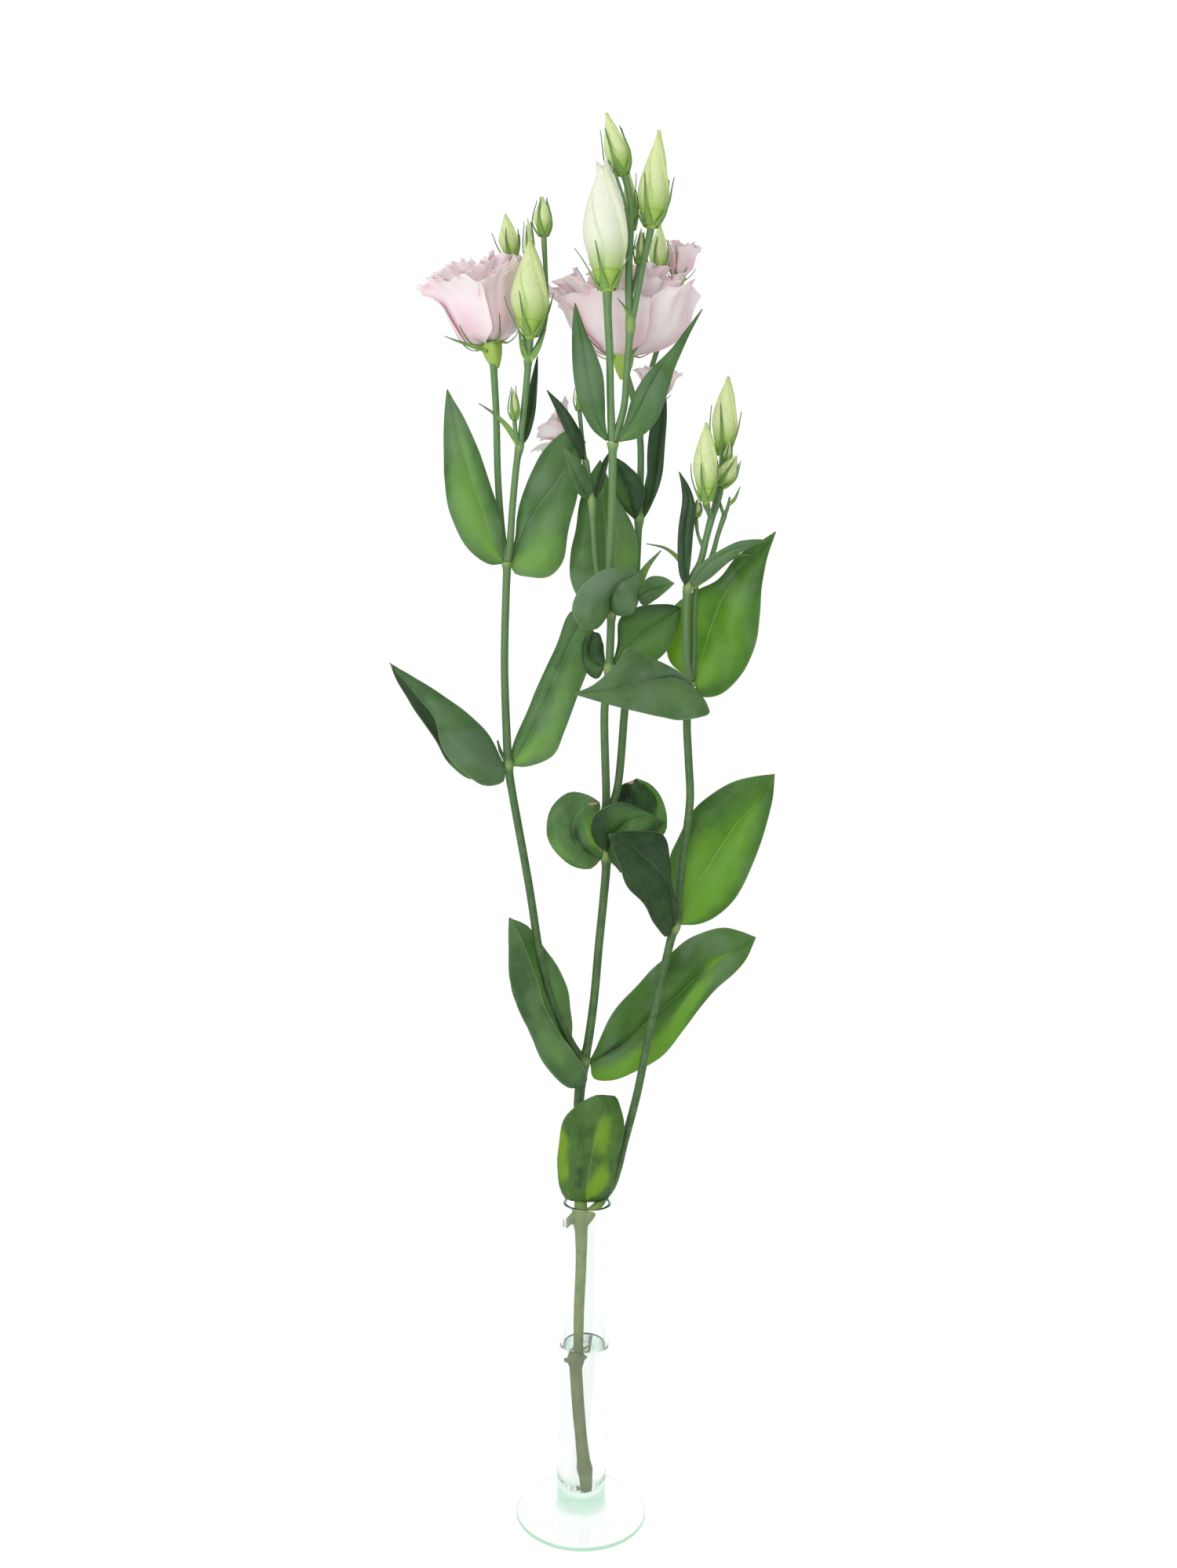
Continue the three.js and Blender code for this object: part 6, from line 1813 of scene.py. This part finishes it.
@dataclass
class BloomBody:
    """An open double bloom: rings of thin broad petals with frilled, turned-out rims.

    The seed picks the frills of its petals.
    """

    bloom: Bloom
    seed: int
    thickness: float = 0.42
    # The rows of a petal, and the shares of its half width at its columns.
    rows: int = 24
    columns: tuple[float, ...] = (0, 0.1, 0.2, 0.3, 0.4, 0.5, 0.6, 0.7, 0.79, 0.87, 0.93, 0.975, 1)
    # How far the rim of each ring nods towards the viewer, as a share of the bloom's length.
    nods: tuple[float, ...] = (0.17, 0.15, 0.1, 0.04, 0.0)
    # The calyx cup's rings as [radius, height], as shares of the bloom's own cup size.
    cup: tuple[Pair, ...] = (
        (0.3, -1.35), (0.42, -1.1), (0.58, -0.75), (0.74, -0.3), (0.84, 0.2), (0.9, 0.62), (0.86, 0.74),
        (0.7, 0.65), (0.35, 0.35),
    )

    def __post_init__(self) -> None:
        """Sets the bloom's frame."""
        self.axis = Axis.between(self.bloom.base, self.bloom.tip)
        self.rng = np.random.default_rng(self.seed)

    def heart(self) -> Layer:
        """Makes the furled petals in the middle.

        Returns:
            Their ring, half as wide as the innermost ring of the table.
        """
        inner = self.bloom.layers[-1]
        profile = tuple((radius * 0.5, up * 0.97) for radius, up in inner.profile)
        return Layer(3, inner.turn + 0.5, 62, inner.ruffle * 0.6, profile)

    def add_petal(self, skin: Skin, layer: Layer, angle: float, depth: int) -> None:
        """Adds one petal.

        Args:
            skin: The bloom's skin.
            layer: The petal's ring.
            angle: Where the petal stands round the axis.
            depth: How many rings lie outside it.
        """
        length, ruffle = self.axis.length, layer.ruffle
        t = (np.linspace(0, 1, self.rows) ** 0.92)[:, None]
        side = mirrored(self.columns)
        line = spline(layer.profile, t[:, 0])
        turn = angle + math.radians(layer.spread) * (0.24 + (0.71 - 0.2 * t) * rise(t, 0, 0.34)) * side
        seeds = self.rng.uniform(0, FULL_TURN, 5)
        ripple = ruffle * t**2 * np.sin(7 * turn) + 0.35 * ruffle * t * np.sin(13 * side + seeds[4])
        waves = ((1.0, 9), (0.6, 17), (0.3, 31))
        frill = sum(size * np.sin(rate * side + seed) for (size, rate), seed in zip(waves, seeds))
        lip = length * (0.07 - 0.02 * depth) * rise(t, 0.72, 1.05)
        belly = self.bloom.belly * np.clip(np.cos(turn), 0, 1) * np.sin(math.pi * t) * 0.8**depth
        nod = self.nods[depth] * rise(t, 0.4, 1.1) * np.clip(-np.sin(turn), 0, 1) ** 1.5
        overlap = 1.1 * side
        radius = line[:, :1] + ripple + ruffle * t**4 * frill + lip + overlap + belly + 0.35 * length * nod
        drop = length * (0.09 * t * side**2 + 0.06 * t**2 * np.abs(side) ** 5 + nod)
        notch = 0.024 * length * t**4 * (np.sin(6 * side + seeds[3]) + 0.6 * np.sin(19 * side + seeds[4]))
        notch = notch - 0.03 * length * rise(t, 0.86, 1.04) * (depth == 0)
        grid = self.axis.around(radius, turn, line[:, 1:] - drop + notch, self.bloom.flatten)
        glow = self._pink(t, side, seeds)
        skin.add_blade(grid, self.thickness * (1.35 - 0.6 * t), along=t, side=side, glow=glow)

    @staticmethod
    def _pink(t: Points, side: Points, seeds: Points) -> Points:
        """Says how pink a petal is: down one edge, in flecks on the rim and towards its claw.

        Args:
            t: The shares of its length.
            side: The shares of its width.
            seeds: The petal's own waves.

        Returns:
            The pink at each place, from 0 to 1.
        """
        edge = np.exp(-(((np.abs(side) - 0.9) / 0.14) ** 2)) * (side < 0)
        pink = 0.85 * edge * rise(t, 0.16, 0.4) * (1 - rise(t, 0.62, 0.95))
        flecks = 0.4 * rise(t, 0.86, 1) * (np.sin(11 * side + seeds[1]) > 0.75)
        blush = 0.16 * (1 - rise(t, 0.3, 0.8)) * (1 + np.sin(3 * side + seeds[2]))
        return np.clip(pink + flecks + blush, 0, 1)

    def build(self, petal: Material) -> Object:
        """Makes the bloom and dresses it.

        Args:
            petal: Its material.

        Returns:
            The bloom.
        """
        skin = Skin()
        for depth, layer in enumerate((*self.bloom.layers, self.heart())):
            for index in range(layer.petals):
                self.add_petal(skin, layer, FULL_TURN * (index + layer.turn) / layer.petals, depth)
        return dress(skin.piece(self.bloom.name + "_petals", petal), self.bloom.name, "petal_pink")

    def add_calyx(self, skin: Skin) -> None:
        """Adds the ribbed cup under the bloom and the long thin sepals that spread below its petals.

        Args:
            skin: The stem's skin.
        """
        bloom, calyx = self.bloom, Calyx(self.axis)
        cup = bloom.cup
        radius, height = cup * np.array(self.cup).T
        calyx.add_cup(skin, radius, height, 0.05 * rise(height, -cup, 0)[:, None])
        t = np.linspace(0, 1, 24)[:, None]
        for sepal in range(calyx.sepals):
            angle = FULL_TURN * (sepal + 0.1) / calyx.sepals
            under = spline(bloom.layers[0].profile, 0.04 + self.rng.uniform(0.34, 0.46) * t[:, 0])
            off = 0.7 + self.rng.uniform(0.4, 1.6) * rise(t, 0.4, 1.1)
            inner = np.maximum(cup * 0.92, under[:, :1] + off)
            width = min(0.3 * cup, 1.6) * (1 - 0.72 * rise(t, 0, 0.4)) * (1.02 - t) ** 0.6 + 0.1
            height = under[:, 1:] - 2.4 * rise(t, 0, 0.25)
            calyx.add_sepal(skin, angle, inner, width, height, 0.6 - 0.26 * t, flatten=bloom.flatten)


@dataclass(frozen=True)
class Stem:
    """The grown green body: stalks, calyx cups with their sepals, and bracts.

    A stalk that is nowhere thicker than a twig has fewer sides.
    """

    twig: float = 2.05
    sides: int = 24
    twig_sides: int = 14
    seed: int = 7

    def rows_of(self, stalk: str) -> Rows:
        """Leads a stalk's rows on into the cup of the bud or bloom that it carries.

        Args:
            stalk: The stalk's name.

        Returns:
            Its rows.
        """
        rows = STEMS[stalk]
        for flower in (*BUDS, *BLOOMS):
            if flower.stalk == stalk:
                reach = np.asarray(flower.tip, float) - flower.base
                end = np.asarray(flower.base) - reach / np.linalg.norm(reach) * (GAP + CUP_SINK)
                return (*rows, (*end, rows[-1][3]))
        return rows

    def tube(self, stalk: str) -> StemTube:
        """Makes one stalk's tube.

        Args:
            stalk: The stalk's name.

        Returns:
            The tube.
        """
        rows = self.rows_of(stalk)
        thickest = max(row[3] for row in rows)
        return StemTube(rows, self.sides if thickest > self.twig else self.twig_sides)

    def add_bract(self, skin: Skin, bract: Bract) -> None:
        """Adds one thread-like bract.

        Args:
            skin: The stem's skin.
            bract: Its row of the table.
        """
        line = SmoothLine(VIEW.place(bract.rib))
        t = np.linspace(0, 1, 20)
        side = mirrored((0, 0.5, 1))[:, None]
        along = line.along(t)[:, None]
        across = level_across(along)
        forward = np.cross(across, along)
        width = bract.half_width * np.where(t < 0.3, 0.7 + t, 1.25 * (1.06 - t))[:, None, None]
        grid = line.at(t)[:, None] + across * width * side + forward * 0.35 * width * side**2
        t = t[:, None]
        skin.add_blade(VIEW.settle(grid), 0.7 - 0.3 * t, 1, along=t, side=side[:, 0])

    def build(
        self, buds: list[BudBody], blooms: list[BloomBody], green: Material, sepal: Material
    ) -> Object:
        """Gathers the whole body and dresses it.

        Args:
            buds: The buds that it carries.
            blooms: The blooms that it carries.
            green: The stalks' material.
            sepal: The material of cups, sepals and bracts.

        Returns:
            The stem.
        """
        skin = Skin()
        rng = np.random.default_rng(self.seed)
        for stalk in STEMS:
            self.tube(stalk).add_to(skin)
        for bud in buds:
            bud.add_calyx(skin, rng)
        for bloom in blooms:
            bloom.add_calyx(skin)
        for bract in BRACTS:
            self.add_bract(skin, bract)
        return dress(skin.piece("stem_body", green, sepal), "stem", "stem_green")


@dataclass(frozen=True)
class Studio:
    """A white table in a bright white room, with most of the light from behind.

    The walls behind, in front and at the sides have their own strengths, and key is the power of a
    large soft window in front, on the left, which looks along its own direction.
    """

    behind: float = 1.03
    front: float = 0.79
    sides: float = 0.38
    key: float = 8.5
    window_width: float = 0.9
    window_place: Place = (-0.55, -1.05, 0.8)
    window_looks: Place = (0.55, 1.05, -0.35)
    bounces: int = 40
    table_half: float = 4.0
    table_grey: float = 0.1
    table_glow: float = 0.96

    def floor(self) -> Object:
        """Makes the white table top.

        Returns:
            The table top.
        """
        material, tree = new_material("white_table")
        grey, half = self.table_grey, self.table_half
        paint = add_node(tree, "ShaderNodeBsdfPrincipled", {
            "Base Color": (grey, grey, grey, 1.0), "Roughness": 0.9, "Specular IOR Level": 0.0,
            "Emission Color": WHITE, "Emission Strength": self.table_glow,
        })
        add_node(tree, "ShaderNodeOutputMaterial", {"Surface": paint.outputs[0]})
        mesh = bpy.data.meshes.new("white_table")
        corners = [(-half, -half, 0), (half, -half, 0), (half, half, 0), (-half, half, 0)]
        mesh.from_pydata(corners, [], [(0, 1, 2, 3)])
        mesh.materials.append(material)
        floor = linked("white_table", mesh)
        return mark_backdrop(floor)

    def room(self) -> None:
        """Lights the room from its walls, brightest behind and darkest at the sides."""
        world = bpy.data.worlds.new("white_room")
        bpy.context.scene.world = world
        world.use_nodes = True
        tree = world.node_tree
        tree.nodes.clear()
        place = add_node(tree, "ShaderNodeTexCoord").outputs["Generated"]
        towards = add_node(tree, "ShaderNodeSeparateXYZ", {0: place}).outputs
        aside = add_node(tree, "ShaderNodeMath", {0: towards["X"]}, operation="ABSOLUTE").outputs[0]
        walls = ((towards["Y"], -0.6, 0.5, self.front, self.behind), (aside, 0.5, 0.9, 1.0, self.sides))
        names = ("Value", "From Min", "From Max", "To Min", "To Max")
        shares = [add_node(tree, "ShaderNodeMapRange", dict(zip(names, wall))).outputs[0] for wall in walls]
        strength = add_node(tree, "ShaderNodeMath", dict(enumerate(shares)), operation="MULTIPLY")
        inputs = {"Color": WHITE, "Strength": strength.outputs[0]}
        light = add_node(tree, "ShaderNodeBackground", inputs)
        add_node(tree, "ShaderNodeOutputWorld", {"Surface": light.outputs[0]})

    def window(self) -> None:
        """Adds the window, and lets light go to and fro many times between glass and water."""
        lamp = bpy.data.lights.new("soft_window", "AREA")
        lamp.size = self.window_width
        lamp.energy = self.key
        window = linked("soft_window", lamp)
        window.location = self.window_place
        window.rotation_euler = Vector(self.window_looks).to_track_quat("-Z", "Y").to_euler()
        scene = bpy.context.scene
        scene.view_settings.view_transform = "Standard"
        scene.cycles.max_bounces = self.bounces
        scene.cycles.transmission_bounces = self.bounces
        scene.cycles.glossy_bounces = self.bounces


def leaf_waxes() -> dict[Tint, Material]:
    """Makes the leaves' materials.

    Returns:
        A material for each way in which the light falls on a leaf: a copy of one wax, painted with that
        light and shade.
    """
    colours: dict[Tint, dict[str, str | float]] = {
        Tint.LEAF: {},
        Tint.PALE: {"ground": "#6f9169", "shade": "#577c50", "bloom": "#98ad9c", "lit_face": "#7fa266"},
        Tint.SUNNY: {
            "ground": "#567c3c", "shade": "#3c6128", "bloom": "#7b9a68", "lit_face": "#7ea32c",
            "pale": "#8ab050", "lit": "#c4e02e", "deep": "#2f4d1e", "patchy": 1.1,
        },
        Tint.BRIGHT: {"ground": "#4d7733", "shade": "#365f1e", "pale": "#82aa48", "lit_face": "#679a34"},
        Tint.DARK: {
            "ground": "#314e2b", "shade": "#223a22", "bloom": "#4e6b54", "lit_face": "#5f8a4b",
            "pale": "#5e8248", "lit": "#98c05a", "vein": "#6d8b62", "deep": "#1c301b",
        },
    }
    return {tint: WaxyLeaf(tint.value[1], **given).build() for tint, given in colours.items()}


def main() -> None:
    """Builds every piece over its CAD node, then the room and the camera."""
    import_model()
    stem = Stem()
    vase = Vase()
    buds = [BudBody(bud) for bud in BUDS]
    blooms = [BloomBody(bloom, 40 + number) for number, bloom in enumerate(BLOOMS)]
    vase.build(BlownGlass().build())
    Water().build(vase, stem.tube("main"), StillWater().build())
    stem.build(buds, blooms, GrownStem().build(), GreenSepal().build())
    waxes = leaf_waxes()
    for number, leaf in enumerate(LEAVES):
        LeafBlade(leaf, number).build(waxes)
    green = FurledPetals("bud_petals_green").build()
    white = FurledPetals("bud_petals_white", body="#f6f9ec", fold="#dbe6bb", tip="#eef3da").build()
    for body in buds:
        body.build(white if body.bud.name == "bud_white" else green)
    petal = OpenPetal().build()
    for bloom in blooms:
        bloom.build(petal)
    studio = Studio()
    studio.floor()
    studio.room()
    studio.window()
    VIEW.camera()


if __name__ == "__main__":
    main()
